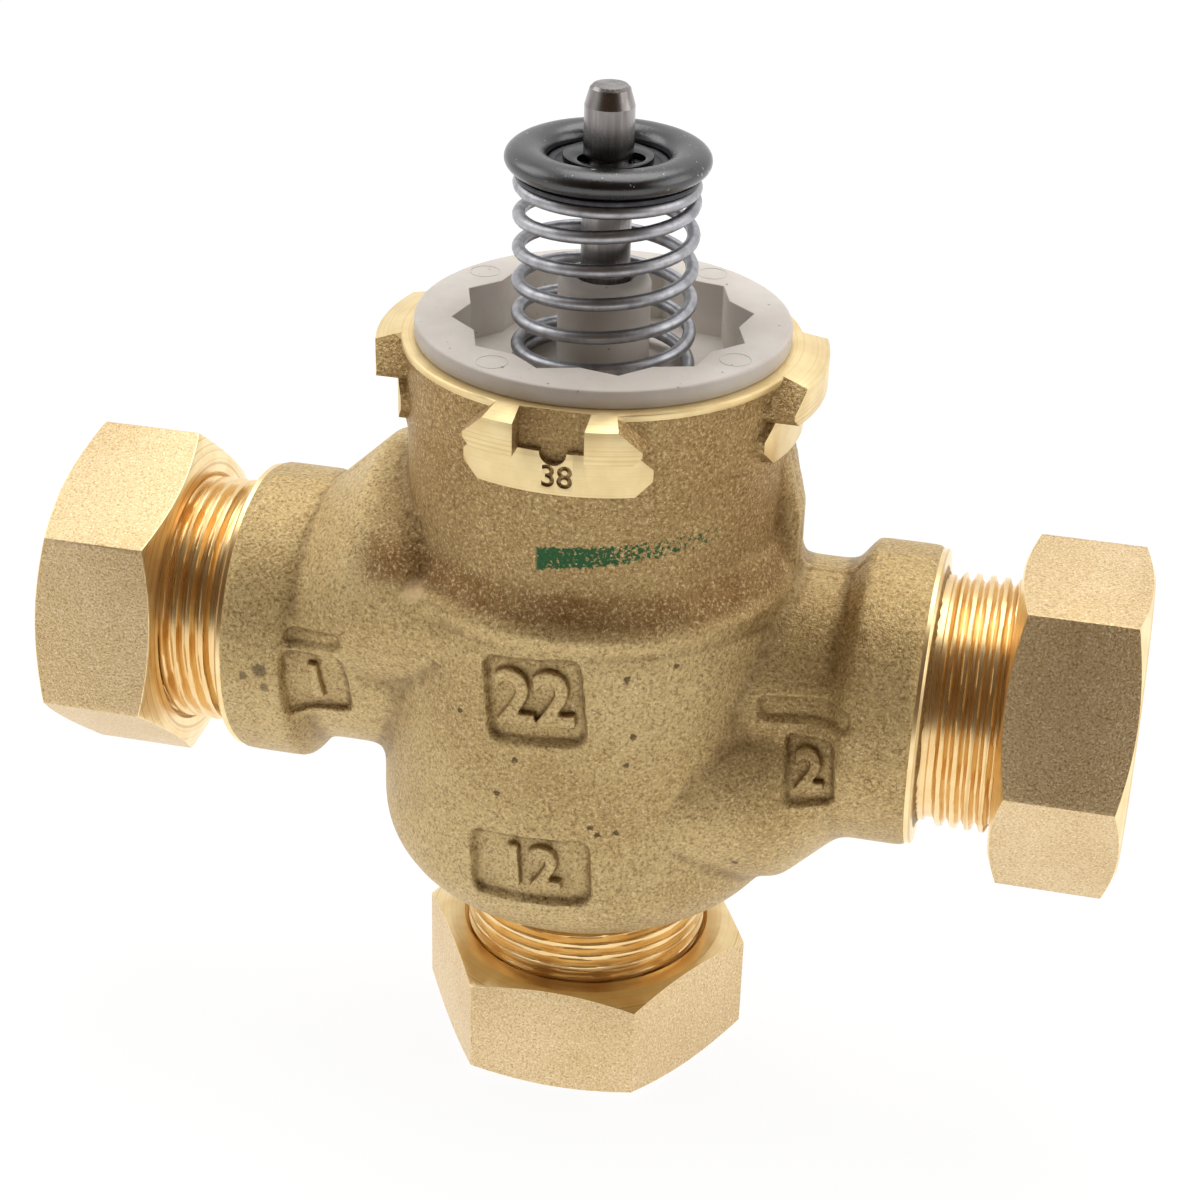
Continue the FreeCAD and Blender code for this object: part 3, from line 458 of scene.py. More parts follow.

# %% [markdown]
# The neck is coloured browner than the rest as painted shade, most of all at its foot, where
# the fillet lies in shade, and a few brown patches are patina. In the creases painted shade
# makes it darker still: how hollow each point is gets measured on the finished casting, further down.

# %% Painted shade on the neck and in the hollows, and patina
# painted shade on the neck and at its foot: a pair says where it starts to change and where the change is
# complete
NECK_SIDES = (19.5, 22.5)
NECK_SHADE_FROM = (12.8, 14.6)
NECK_SHADE = 0.42
FOOT_SHADE_AT = 15.6
FOOT_SHADE_WIDTH = (0.6, 2.6)
FOOT_SHADE = 0.8
PATINA = (
    # place, radius, strength
    ((27.5, -11.5, 7.0), 2.6, 0.16),
    ((-21.5, -13.5, 8.0), 4.0, 0.20),
    ((31.5, -14.5, 2.5), 3.0, 0.18),
)
# how strongly painted shade darkens the hollows
HOLLOW_SHADE_STRENGTH = 0.66


def neck_shade_and_patina(finish):
    """Where the brass is browner: painted shade on the neck and at its foot, and patina in a few patches.
    """
    across, _, height = finish.axes()
    cloud = finish.noise(150.0, 3.0)
    streak = finish.noise(700.0, 3.0, 0.6, stretch=(1.0, 1.0, 0.3))
    in_neck = finish.band(across, 0.0, *(side * MM for side in NECK_SIDES))
    neck = finish.step(height, *(PORT_Z + level * MM for level in NECK_SHADE_FROM))
    foot = finish.band(height, PORT_Z + FOOT_SHADE_AT * MM, *(off * MM for off in FOOT_SHADE_WIDTH))
    share = finish.maths("MULTIPLY_ADD", finish.maths("MULTIPLY", foot, streak), FOOT_SHADE,
                         finish.maths("MULTIPLY", neck, NECK_SHADE))
    share = finish.maths("MULTIPLY", share, in_neck)
    for place, radius, dark in PATINA:
        patch = finish.near(place, radius, 0.6, wobble=cloud)
        share = finish.maths("MAXIMUM", share, finish.maths("MULTIPLY", patch, dark))
    return finish.maths("MULTIPLY", share, finish.maths("MULTIPLY_ADD", cloud, 0.8, 0.6), clamp=True)


def painted_hollow_shade(finish, uneven):
    """Painted shade in the hollows, from how hollow each point of the skin is."""
    node = finish.nodes.new("ShaderNodeAttribute")
    node.attribute_name = "hollow"
    depth = finish.maths("MULTIPLY", node.outputs["Fac"], finish.maths("MULTIPLY_ADD", uneven, 1.2, 0.4))
    return finish.maths("MULTIPLY", finish.step(depth, 0.12, 0.95), HOLLOW_SHADE_STRENGTH)


print(len(PATINA), "brown patches")

# %% [markdown]
# The casting is sand-cast brass, blasted with beads: a matt tan metal that sparkles finely. Four
# noises make it, each finer than the last: broad clouds, the sand's lumps, the blasted grain and
# the glint of single grains, which is a painted highlight. The grain's pale and dark specks are
# partly its own tone and partly painted light and shade. The three finer ones also raise the
# surface, so that light and colour agree.

# %% Cast brass


def cast_brass():
    """Blasted brass, with the photograph's marks, painted glints and painted shade."""
    finish = Finish("cast_brass", Metallic=0.85, Roughness=0.5, Specular_IOR_Level=0.4)
    broad = finish.noise(60.0, 3.0)
    middle = finish.noise(1100.0, 4.0)
    grain = finish.noise(3000.0, 4.0, 0.70)
    sparkle = finish.noise(6500.0, 1.0, 0.5)
    base = finish.ramp(broad, (0.30, srgb(176, 148, 98)), (0.5, srgb(194, 168, 116)),
                       (0.72, srgb(206, 182, 132)))
    base = finish.over(base, finish.step(middle, 0.52, 0.72), 0.5, srgb(160, 128, 80))
    # painted shade on the neck and at its foot, and brown patina patches
    base = finish.mix(neck_shade_and_patina(finish), base, srgb(136, 101, 57))
    # the grain's pale and dark specks: partly the grain's own tone, partly painted light and shade
    # standing in for its bumps
    base = finish.over(base, finish.step(grain, 0.52, 0.67), 0.65, srgb(236, 211, 160))
    base = finish.over(base, finish.step(grain, 0.49, 0.37), 0.62, srgb(112, 82, 46))
    # painted glints: bright specks stand in for light glinting off single grains
    base = finish.over(base, finish.step(sparkle, 0.67, 0.74), 0.65, srgb(255, 244, 214))
    # painted shade: the colour darkens where the skin is hollow, in creases and round the numbers
    base = finish.mix(painted_hollow_shade(finish, middle), base, srgb(100, 72, 40))
    base = add_marks(finish, base, grain)
    finish.colour(finish.over(base, marker_stroke(finish), 0.93, srgb(18, 88, 54)))
    finish.roughness(grain, 0.36, 0.60)
    finish.bump((middle, 0.55, 0.20 * MM), (grain, 1.0, 0.15 * MM), (sparkle, 0.5, 0.03 * MM))
    return finish.material


CAST = cast_brass()
print(CAST.name, len(CAST.node_tree.nodes), "nodes")

# %% [markdown]
# Turned faces are paler than the blasted ones and carry the tool's fine rings. The rings follow
# the distance from the turning axis or the place along it, so each port needs its own direction.

# %% Turned and milled brass


def ring_noise(finish, axis, scale):
    """Fine lines round an axis: noise that varies along the axis and with the radius only."""
    x, y, z = finish.axes()
    if axis == "X":
        along, first, second = x, y, finish.maths("SUBTRACT", z, PORT_Z)
    else:
        along, first, second = z, x, y
    square = finish.maths("ADD", finish.maths("MULTIPLY", first, first),
                          finish.maths("MULTIPLY", second, second))
    radius = finish.maths("SQRT", square)
    join = finish.nodes.new("ShaderNodeCombineXYZ")
    finish.links.new(radius, join.inputs[0])
    finish.links.new(along, join.inputs[1])
    return finish.noise(scale, 2.0, 0.6, place=join.outputs[0])


def turned_brass(name, axis, pale, deep, rough=0.28):
    """Bright brass with tool rings round an axis."""
    finish = Finish(name, Metallic=0.9, Roughness=rough)
    rings = ring_noise(finish, axis, 3000.0)
    cloud = finish.noise(260.0, 3.0)
    base = finish.mix(finish.step(cloud, 0.35, 0.7), pale, deep)
    finish.colour(finish.over(base, finish.step(rings, 0.55, 0.7), 0.35, srgb(150, 110, 60)))
    finish.roughness(rings, rough - 0.06, rough + 0.12)
    finish.bump((rings, 0.35, 0.03 * MM))
    return finish.material


def milled_brass():
    """The pale lugs and pads, with fine lines from the turning tool."""
    finish = Finish("milled_brass", Metallic=0.75, Roughness=0.4)
    rings = ring_noise(finish, "Z", 4200.0)
    cloud = finish.noise(300.0, 3.0)
    base = finish.mix(finish.step(cloud, 0.3, 0.75), srgb(238, 216, 164), srgb(226, 200, 146))
    finish.colour(finish.over(base, finish.step(rings, 0.5, 0.68), 0.35, srgb(196, 166, 110)))
    finish.roughness(rings, 0.34, 0.52)
    finish.bump((rings, 0.3, 0.03 * MM))
    return finish.material


def sandy_brass():
    """The nuts' flats: pale brass with the fine sandy skin of drawn and blasted bar."""
    finish = Finish("nut_flats", Metallic=0.95, Roughness=0.45)
    grain = finish.noise(4200.0, 3.0, 0.7)
    cloud = finish.noise(90.0, 2.0)
    base = finish.mix(finish.step(cloud, 0.3, 0.75), srgb(221, 195, 150), srgb(212, 184, 136))
    base = finish.over(base, finish.step(grain, 0.48, 0.36), 0.6, srgb(150, 118, 76))
    finish.colour(finish.over(base, finish.step(grain, 0.54, 0.66), 0.6, srgb(250, 236, 206)))
    finish.roughness(grain, 0.34, 0.54)
    finish.bump((grain, 0.9, 0.09 * MM))
    return finish.material


MILLED = milled_brass()
NUT_FLAT = sandy_brass()
GOLD = {axis: turned_brass("turned_brass_" + axis.lower(), axis, srgb(246, 222, 170),
                           srgb(236, 204, 146)) for axis in "XZ"}
THREAD = {axis: turned_brass("thread_brass_" + axis.lower(), axis, srgb(242, 212, 158),
                             srgb(232, 196, 136), rough=0.26) for axis in "XZ"}
TURNED_ABOUT = {"a": "X", "b": "X", "ab": "Z"}
print("brass finishes:", [finish.name for finish in (MILLED, NUT_FLAT, *GOLD.values(), *THREAD.values())])

# %% [markdown]
# The rest are steel, plastic and rubber. Each has its own scale of detail: streaks along a drawn
# wire, specks of dust on rubber, faint clouds in moulded plastic.

# %% Steel, plastic and rubber
# a painted dark reflection: a darker band low round the stem
REFLECTION_BAND_HEIGHT = 45.8
REFLECTION_BAND_WIDTH = (0.3, 1.5)


def ground_steel(name, light, dark, rough, for_stem=False):
    """Ground or drawn stainless steel, with a painted dark reflection, a band low on the stem, if asked.
    """
    finish = Finish(name, Metallic=1.0, Roughness=rough)
    streak = finish.noise(700.0, 3.0, 0.6, stretch=(1.0, 1.0, 0.1) if for_stem else None)
    fine = ring_noise(finish, "Z", 5200.0)
    base = finish.mix(finish.step(streak, 0.35, 0.7), light, dark)
    if for_stem:
        # painted dark reflection: the band darkens the stem's colour
        band = finish.band(finish.axes()[2], PORT_Z + REFLECTION_BAND_HEIGHT * MM,
                           *(off * MM for off in REFLECTION_BAND_WIDTH))
        base = finish.over(base, band, 0.75, srgb(40, 36, 33))
    finish.colour(base)
    finish.roughness(streak, rough - 0.06, rough + 0.12)
    finish.bump((fine, 0.12, 0.02 * MM))
    return finish.material


def moulded(name, pale, deep, rough=0.5, soft=0.0):
    """Moulded plastic with faint clouds and a fine spark-eroded skin."""
    finish = Finish(name, Roughness=rough, Specular_IOR_Level=0.45, Subsurface_Weight=soft,
                    Subsurface_Scale=1.0 * MM)
    cloud = finish.noise(130.0, 4.0)
    skin = finish.noise(2600.0, 2.0)
    specks = finish.noise(1500.0, 2.0, 0.4)
    base = finish.mix(finish.step(cloud, 0.3, 0.72), pale, deep)
    finish.colour(finish.over(base, finish.step(specks, 0.735, 0.76), 0.55, srgb(70, 60, 50)))
    finish.roughness(cloud, rough - 0.08, rough + 0.08)
    finish.bump((skin, 0.18, 0.04 * MM))
    return finish.material


def rubber(name, dark, dust):
    """Black rubber with dusty clouds, white specks and short scuffs."""
    finish = Finish(name, Roughness=0.3, Specular_IOR_Level=0.9)
    cloud = finish.noise(420.0, 4.0, 0.65)
    skin = finish.noise(2400.0, 3.0)
    speck = finish.noise(1700.0, 2.0, 0.5)
    scuff = finish.noise(700.0, 3.0, 0.7, stretch=(1.0, 1.0, 4.0))
    base = finish.over(dark, finish.step(cloud, 0.45, 0.8), 0.8, dust)
    base = finish.over(base, finish.step(speck, 0.70, 0.73), 0.75, srgb(196, 196, 200))
    finish.colour(finish.over(base, finish.step(scuff, 0.66, 0.72), 0.4, srgb(150, 150, 152)))
    finish.roughness(cloud, 0.18, 0.38)
    finish.bump((skin, 0.25, 0.05 * MM), (cloud, 0.2, 0.10 * MM))
    return finish.material


def black_oxide(name, dark, light, rough):
    """Blackened steel with faint turning rings."""
    finish = Finish(name, Metallic=0.6, Roughness=rough)
    rings = ring_noise(finish, "Z", 2600.0)
    cloud = finish.noise(800.0, 3.0)
    finish.colour(finish.mix(finish.step(cloud, 0.4, 0.75), dark, light))
    finish.roughness(rings, rough - 0.05, rough + 0.12)
    finish.bump((rings, 0.2, 0.03 * MM))
    return finish.material


STEM_STEEL = ground_steel("stem_steel", srgb(150, 145, 143), srgb(116, 110, 108), 0.24, for_stem=True)
WIRE_STEEL = ground_steel("spring_wire", srgb(170, 170, 174), srgb(144, 144, 148), 0.40)
BONNET = moulded("bonnet_plastic", srgb(219, 212, 203), srgb(206, 197, 187), 0.5, soft=0.2)
SLEEVE = moulded("sleeve_plastic", srgb(196, 190, 180), srgb(180, 172, 160), 0.5)
SPOOL = moulded("spool_plastic", srgb(52, 52, 54), srgb(40, 40, 42), 0.45)
BUSH = moulded("bush_plastic", srgb(226, 222, 212), srgb(214, 208, 196), 0.4)
BUMPER = rubber("bumper_rubber", srgb(11, 12, 16), srgb(26, 28, 35))
SEAL = rubber("seal_rubber", srgb(26, 26, 28), srgb(40, 40, 42))
CAP_BLACK = black_oxide("cap_black", srgb(58, 58, 62), srgb(78, 78, 82), 0.42)
CLIP_BLACK = black_oxide("clip_black", srgb(30, 30, 33), srgb(46, 46, 50), 0.22)
OLIVE = turned_brass("olive_brass", "Z", srgb(232, 186, 116), srgb(212, 160, 88), rough=0.3)
print("finishes so far:", len(bpy.data.materials))

# %% [markdown]
# Most pieces are a copy of the solid with its loose triangles merged and its edges broken, because
# no real edge is perfectly sharp: the small bevels are what catches the light.

# %% Helpers for pieces
MERGED_WITHIN = 0.0005 * MM


def alone(thing):
    """Select one object only and make it the active one."""
    bpy.ops.object.select_all(action="DESELECT")
    thing.select_set(True)
    bpy.context.view_layer.objects.active = thing


def add_object(name, data):
    """A new object in the scene, selected alone."""
    thing = bpy.data.objects.new(name, data)
    bpy.context.scene.collection.objects.link(thing)
    alone(thing)
    return thing


def open_all(thing):
    """Open a piece in edit mode with all of it selected."""
    alone(thing)
    bpy.ops.object.mode_set(mode="EDIT")
    bpy.ops.mesh.select_all(action="SELECT")


def merged_copy(node, name):
    """A copy of a node's mesh with its doubled points merged."""
    thing = add_object(name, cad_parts[node].data.copy())
    thing.data.materials.clear()
    open_all(thing)
    bpy.ops.mesh.remove_doubles(threshold=MERGED_WITHIN)
    bpy.ops.mesh.customdata_custom_splitnormals_clear()
    bpy.ops.object.mode_set(mode="OBJECT")
    return thing


def apply_modifier(thing, kind, **settings):
    """Add a modifier with its settings and apply it."""
    alone(thing)
    modifier = thing.modifiers.new(kind.lower(), kind)
    for key, value in settings.items():
        setattr(modifier, key, value)
    bpy.ops.object.modifier_apply(modifier=modifier.name)


def break_edges(thing, width, sharper_than):
    """A small bevel on every edge sharper than an angle in degrees."""
    apply_modifier(thing, "BEVEL", width=width * MM, segments=2, limit_method="ANGLE",
                   angle_limit=math.radians(sharper_than), use_clamp_overlap=True)


def finish_piece(thing, body, slot, *nodes, smooth=35.0):
    """Shade a piece, let it ride on its body and hide the nodes it stands for."""
    alone(thing)
    bpy.ops.object.shade_smooth_by_angle(angle=math.radians(smooth))
    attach(thing, body)
    if nodes:
        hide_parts(*nodes)
    print(thing.name, len(thing.data.polygons), "faces")
    return thing


def softened(node, name, body, slot, material, width, smooth=35.0):
    """A merged copy of a node with its edges broken."""
    thing = merged_copy(node, name)
    break_edges(thing, width, 32)
    thing.data.materials.append(material)
    return finish_piece(thing, body, slot, node, smooth=smooth)


print("points closer than", MERGED_WITHIN, "metres are merged")

# %% [markdown]
# Some shapes are easier to say as a formula than to draw: a lip of so much height round a barrel,
# or a panel so deep. Blender hands over all points of a piece as one array, the formula moves them
# in one go, and they are written back.

# %% Helpers for points


def points_of(thing):
    """The piece's points in millimetres from the port axis, as an array."""
    flat = np.empty(len(thing.data.vertices) * 3)
    thing.data.vertices.foreach_get("co", flat)
    return flat.reshape(-1, 3) / MM - PORT_CENTRE


def set_points(thing, points):
    """Write points given in millimetres from the port axis back to the piece."""
    thing.data.vertices.foreach_set("co", ((points + PORT_CENTRE) * MM).ravel())
    thing.data.update()


def normals_of(thing):
    """The direction of the skin at each point."""
    flat = np.empty(len(thing.data.vertices) * 3)
    thing.data.vertex_normals.foreach_get("vector", flat)
    return flat.reshape(-1, 3)


def edge_ends(thing):
    """The two points of every edge, by their numbers."""
    ends = np.empty(len(thing.data.edges) * 2, int)
    thing.data.edges.foreach_get("vertices", ends)
    return ends.reshape(-1, 2).T


def tree_of(thing):
    """A search tree of a piece's faces."""
    mesh = bmesh.new()
    mesh.from_mesh(thing.data)
    tree = BVHTree.FromBMesh(mesh)
    mesh.free()
    return tree


print("the solid of the body has", len(points_of(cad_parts["valve_body"])), "points")

# %% [markdown]
# Most of the casting's outside is as it left the sand, and soft. Its bores, passages and machined
# ends aren't, and they must keep their shape. Selecting thousands of points by hand would be slow
# and would break when a size changes, so a rule tells the two apart by place.

# %% Where the skin is as cast
COLLAR_END = {"a": 37.6, "b": 36.6}
COLLAR_MACHINED = 1.3
FOOT_END = 26.8
FOOT_MACHINED = 0.9
BARREL_BORE = 18.7
LOWER_BORES = (
    # below this height the bore's wall stands within this radius, both in millimetres
    (-18.5, 17.0),
    (-22.0, 12.4),
)
PORT_BORE = 12.0
PORT_BORE_FROM = 28.0
PASSAGE_FROM = 17.0
PASSAGE_HALF_WIDTH = 11.4
PASSAGE_HALF_HEIGHT = 9.0
PASSAGE_MOUTH_FROM = 26.0
PASSAGE_MOUTH_HALF_HEIGHT = 11.0
PASSAGE_BENDS = (
    # how far the passage climbs (port A) or sinks (port B), from which reach, over what length
    (6.4, 30.0, 7.0),
    (4.1, 23.0, 8.0),
)


def is_cast_skin(points):
    """True for points of the outside as it was cast, false in the bores and on machined ends."""
    x, y, z = points.T
    wall = np.full(len(points), BARREL_BORE)
    for top, radius in LOWER_BORES:
        wall[z < top] = radius
    outside = np.hypot(x, y) > wall
    reach = np.abs(x)
    bend = sum(climb * np.clip((start - reach) / length, 0, 1) for climb, start, length in PASSAGE_BENDS)
    half_height = np.where(reach > PASSAGE_MOUTH_FROM, PASSAGE_MOUTH_HALF_HEIGHT, PASSAGE_HALF_HEIGHT)
    in_passage = (y / PASSAGE_HALF_WIDTH) ** 2 + ((z + np.sign(x) * bend) / half_height) ** 2 < 1
    outside &= ~((reach > PASSAGE_FROM) & in_passage)
    outside &= ~((reach > PORT_BORE_FROM) & (np.hypot(y, z) < PORT_BORE))
    outside &= (x > COLLAR_MACHINED - COLLAR_END["a"]) & (x < COLLAR_END["b"] - COLLAR_MACHINED)
    outside &= z > FOOT_MACHINED - FOOT_END
    return outside


def apply_where(thing, chosen, kind, **settings):
    """Apply a modifier to the chosen points only."""
    group = thing.vertex_groups.new(name="chosen")
    group.add([int(place) for place in np.nonzero(chosen)[0]], 1.0, "REPLACE")
    apply_modifier(thing, kind, vertex_group="chosen", **settings)
    thing.vertex_groups.clear()


body_points = points_of(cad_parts["valve_body"])
print("as cast:", int(is_cast_skin(body_points).sum()), "of the solid's", len(body_points), "points")

# %% [markdown]
# The casting's look is all in its soft creases: molten brass never leaves a sharp inside corner.
# The solid is rebuilt as an even skin of small squares and smoothed where it is as cast, most of
# all where the arms join the barrel.

# %% The casting's skin
VOXEL = 0.55
EDGE_TURNS = 5
CREASE_TURNS = 20
JOIN_FROM, JOIN_TO = 14.5, 29.5
JOIN_TOP = 12.0


def make_skin():
    """The even, smoothed skin of the casting."""
    thing = merged_copy("valve_body", "valve_casting")
    apply_modifier(thing, "REMESH", mode="VOXEL", voxel_size=VOXEL * MM, adaptivity=0.0)
    points = points_of(thing)
    skin = is_cast_skin(points)
    reach = np.abs(points[:, 0])
    joins = skin & (reach > JOIN_FROM) & (reach < JOIN_TO) & (points[:, 2] < JOIN_TOP)
    apply_where(thing, joins, "SMOOTH", factor=0.5, iterations=CREASE_TURNS)
    apply_where(thing, skin, "SMOOTH", factor=0.5, iterations=EDGE_TURNS)
    return thing


casting = make_skin()
print("skin:", len(casting.data.polygons), "faces")

# %% [markdown]
# The spigots get real threads and the lugs get sharp machined faces, each as a piece of its own.
# There the soft skin is drawn in a little, so that it hides under them and never shows through.

# %% Room for threads and lugs
SPIGOT_SKIN = 11.9
SPIGOT_SHELL = 12.25
CLEAR_OF_END = 0.35
NECK_TOP = 27.9
NECK_SKIN = 19.9


def shrink_radius(points, chosen, columns, limit):
    """Draw the chosen points in to a radius, where they are outside it."""
    radius = np.hypot(points[:, columns[0]], points[:, columns[1]])
    scale = np.where(chosen & (radius > limit), limit / np.maximum(radius, 1.0), 1.0)
    for column in columns:
        points[:, column] *= scale


def make_room(thing):
    """Draw in the spigots and the lugs."""
    points = points_of(thing)
    x, y, z = points.T
    beyond = (x < -COLLAR_END["a"] - CLEAR_OF_END) | (x > COLLAR_END["b"] + CLEAR_OF_END)
    shrink_radius(points, beyond & (np.hypot(y, z) > SPIGOT_SKIN), (1, 2), SPIGOT_SHELL)
    below = z < -FOOT_END - CLEAR_OF_END
    shrink_radius(points, below & (np.hypot(x, y) > SPIGOT_SKIN), (0, 1), SPIGOT_SHELL)
    shrink_radius(points, z > NECK_TOP, (0, 1), NECK_SKIN)
    set_points(thing, points)


make_room(casting)
print("spigots drawn in to", SPIGOT_SHELL, "and the lugs to", NECK_SKIN, "millimetres")

# %% [markdown]
# Above the barrel a soft lip runs round, with a faint groove below it, and from the lip the metal
# sweeps up to the neck. These are turned shapes, so they depend on height and radius alone: each
# point moves in or out to a radius given by a formula, less and less towards the side arms.

# %% Shoulder
LIP = 13.4
LIP_HEIGHT = 0.28
LIP_MIDDLE = 13.1
LIP_WIDTH = 0.75
GROOVE_DEPTH = 0.16
GROOVE_MIDDLE = 11.0
GROOVE_WIDTH = 0.8
SWEEP_TOP = 19.4
SWEEP_LIP = 21.9
SWEEP_NECK = 19.68
SWEEP_CURVE = 2.6
SWEEP_FADE = 0.6
ARM_SIDE = 8.0
ARM_FADE = 4.0
CONE_SIDE = 1.3
CONE_FADE = 0.5


def swell(height, middle, width):
    """1 at a height and less above and below it, as a bell."""
    return np.exp(-((height - middle) / width) ** 2)


def shape_shoulder(thing):
    """A soft lip round the top of the barrel, and a hollow sweep from it up to the neck."""
    points = points_of(thing)
    x, y, z = points.T
    radius = np.hypot(x, y)
    rise = np.clip((z - LIP) / (SWEEP_TOP - LIP), 0, 1)
    off_cone = np.abs(radius - (SWEEP_LIP + (SWEEP_NECK - SWEEP_LIP) * rise))
    clear = (np.clip((np.abs(y) - ARM_SIDE) / ARM_FADE, 0, 1)
             * np.clip((CONE_SIDE - off_cone) / CONE_FADE, 0, 1) * is_cast_skin(points))
    sweep = SWEEP_NECK + (SWEEP_LIP - SWEEP_NECK) * (1 - rise) ** SWEEP_CURVE
    fade = np.clip((z - LIP) / SWEEP_FADE, 0, 1) * np.clip((SWEEP_TOP - z) / SWEEP_FADE, 0, 1)
    lip = LIP_HEIGHT * swell(z, LIP_MIDDLE, LIP_WIDTH)
    groove = GROOVE_DEPTH * swell(z, GROOVE_MIDDLE, GROOVE_WIDTH)
    wanted = radius + clear * (fade * (sweep - radius) + lip - groove)
    points[:, :2] *= (wanted / radius)[:, None]
    set_points(thing, points)


shape_shoulder(casting)
print("lip at", LIP_MIDDLE, "millimetres above the port axis")

# %% [markdown]
# Where the two halves of the mould met, a fine ridge is left along the middle plane. The skin is
# then cut level under the lugs' tops, and the bores, which nobody sees closely, get fewer faces.

# %% Parting line and the cut
PARTING_HEIGHT = 0.14
PARTING_HALF_WIDTH = 0.3
SKIN_TOP = 36.1
INSIDE_KEPT = 0.6


def raise_parting_line(thing):
    """The ridge along the middle plane."""
    points = points_of(thing)
    on_line = is_cast_skin(points) & (np.abs(points[:, 1]) < PARTING_HALF_WIDTH)
    on_line &= points[:, 2] < NECK_TOP
    points += np.where(on_line, PARTING_HEIGHT, 0.0)[:, None] * normals_of(thing)
    set_points(thing, points)


def cut_level(thing, height, keep_above):
    """Cut a piece level at a height and close it."""
    open_all(thing)
    bpy.ops.mesh.bisect(plane_co=row_point((0, 0, height)), plane_no=(0, 0, 1), use_fill=True,
                        clear_inner=keep_above, clear_outer=not keep_above)
    bpy.ops.object.mode_set(mode="OBJECT")


raise_parting_line(casting)
cut_level(casting, SKIN_TOP, keep_above=False)
apply_where(casting, ~is_cast_skin(points_of(casting)), "DECIMATE", ratio=INSIDE_KEPT)
print("casting:", len(casting.data.polygons), "faces")

# %% [markdown]
# The mould leaves shallow panels on the front: one for each port's number, one with the pipe
# size, and two short ledges above the side ports. Each is a rounded rectangle in the front view.
# The skin there is divided finer, then pushed in by the distance from the rectangle's edge.

# %% Panels in the casting
PANELS = (
    # centre x, centre z, half width, half height, turn in degrees, depth, corner, all millimetres
    (-26.85, -0.5, 3.3, 3.9, 2.0, 0.8, 0.9),
    (-26.7, 5.3, 3.2, 0.9, 8.0, 0.6, 0.6),
    (26.0, -2.3, 2.5, 3.5, 4.0, 0.8, 0.8),
    (24.9, 3.8, 4.9, 1.1, 5.0, 0.55, 0.8),
    (-1.2, 5.7, 5.1, 4.7, 6.0, 0.85, 1.3),
    (-1.3, -14.2, 6.4, 3.8, 4.0, 0.85, 1.4),
)
PANEL_EDGE = 0.5
PANEL_MARGIN = 1.0
FRONT_FACING = -0.2
FRONT_FROM = -11.8


def panel_distance(points, panel):
    """How far each point lies inside a panel's edge, in the front view."""
    x, z, half_x, half_z, turn, _, corner = panel
    angle = math.radians(turn)
    across = points[:, 0] - x
    up = points[:, 2] - z
    along = across * math.cos(angle) + up * math.sin(angle)
    over = -across * math.sin(angle) + up * math.cos(angle)
    out_x = np.abs(along) - (half_x - corner)
    out_z = np.abs(over) - (half_z - corner)
    outside = np.hypot(np.maximum(out_x, 0), np.maximum(out_z, 0))
    return corner - outside - np.minimum(np.maximum(out_x, out_z), 0)


def faces_front(thing):
    """True for the points on the front of the casting."""
    return (normals_of(thing)[:, 1] < FRONT_FACING) & (points_of(thing)[:, 1] < FRONT_FROM)


def divide_panels(thing):
    """Divide the squares of the skin under the panels once."""
    chosen = np.zeros(len(thing.data.vertices), bool)
    points = points_of(thing)
    for panel in PANELS:
        chosen |= panel_distance(points, panel) > -PANEL_MARGIN
    chosen &= faces_front(thing)
    alone(thing)
    bpy.ops.object.mode_set(mode="EDIT")
    bpy.ops.mesh.select_all(action="DESELECT")
    bpy.ops.object.mode_set(mode="OBJECT")
    first, second = edge_ends(thing)
    thing.data.vertices.foreach_set("select", chosen)
    thing.data.edges.foreach_set("select", chosen[first] & chosen[second])
    bpy.ops.object.mode_set(mode="EDIT")
    bpy.ops.mesh.subdivide(number_cuts=1)
    bpy.ops.object.mode_set(mode="OBJECT")


def press_panels(thing):
    """Push the skin inwards under each panel."""
    points = points_of(thing)
    front = faces_front(thing)
    for panel in PANELS:
        depth = panel[5]
        share = np.clip(panel_distance(points, panel) / PANEL_EDGE + 0.5, 0, 1)
        share = share * share * (3 - 2 * share)
        points[:, 1] += np.where(front, share * depth, 0.0)
    set_points(thing, points)


divide_panels(casting)
press_panels(casting)
casting.data.materials.append(CAST)
finish_piece(casting, "valve", "cast_brass", "valve_body", smooth=60.0)

# %% [markdown]
# Raised numbers stand in the panels. Each is a text turned into a mesh, rebuilt as a soft lump
# like a cast letter, and then laid on the casting: every point keeps its height above the metal.

# %% Raised numbers
NUMBERS = (
    # name, text, centre x, centre z, size, turn in degrees, height above the panel
    ("port_number_1", "1", -26.85, -0.5, 6.4, 2.0, 0.75),
    ("port_number_2", "2", 26.0, -2.3, 5.8, 4.0, 0.75),
    ("port_number_3", "12", -1.3, -14.2, 6.6, 4.0, 0.8),
    ("size_number", "22", -1.2, 5.7, 8.2, 6.0, 0.8),
)
NUMBER_VOXEL = 0.15
NUMBER_STROKE = 0.24
NUMBER_ROOT = 0.5
BEFORE_CASTING = -50.0 * MM


def flat_text(name, words, size, thick, stroke):
    """A text as a solid mesh in the XZ plane, centred, its front towards -Y."""
    bpy.ops.object.text_add()
    thing = bpy.context.object
    thing.name = name
    thing.data.body = words
    thing.data.align_x = "CENTER"
    thing.data.align_y = "CENTER"
    thing.data.size = size * MM
    thing.data.extrude = thick * MM / 2
    thing.data.offset = stroke * MM
    alone(thing)
    bpy.ops.object.convert(target="MESH")
    thing = bpy.context.object
    thing.data.transform(Matrix.Rotation(math.radians(90), 4, "X"))
    return thing


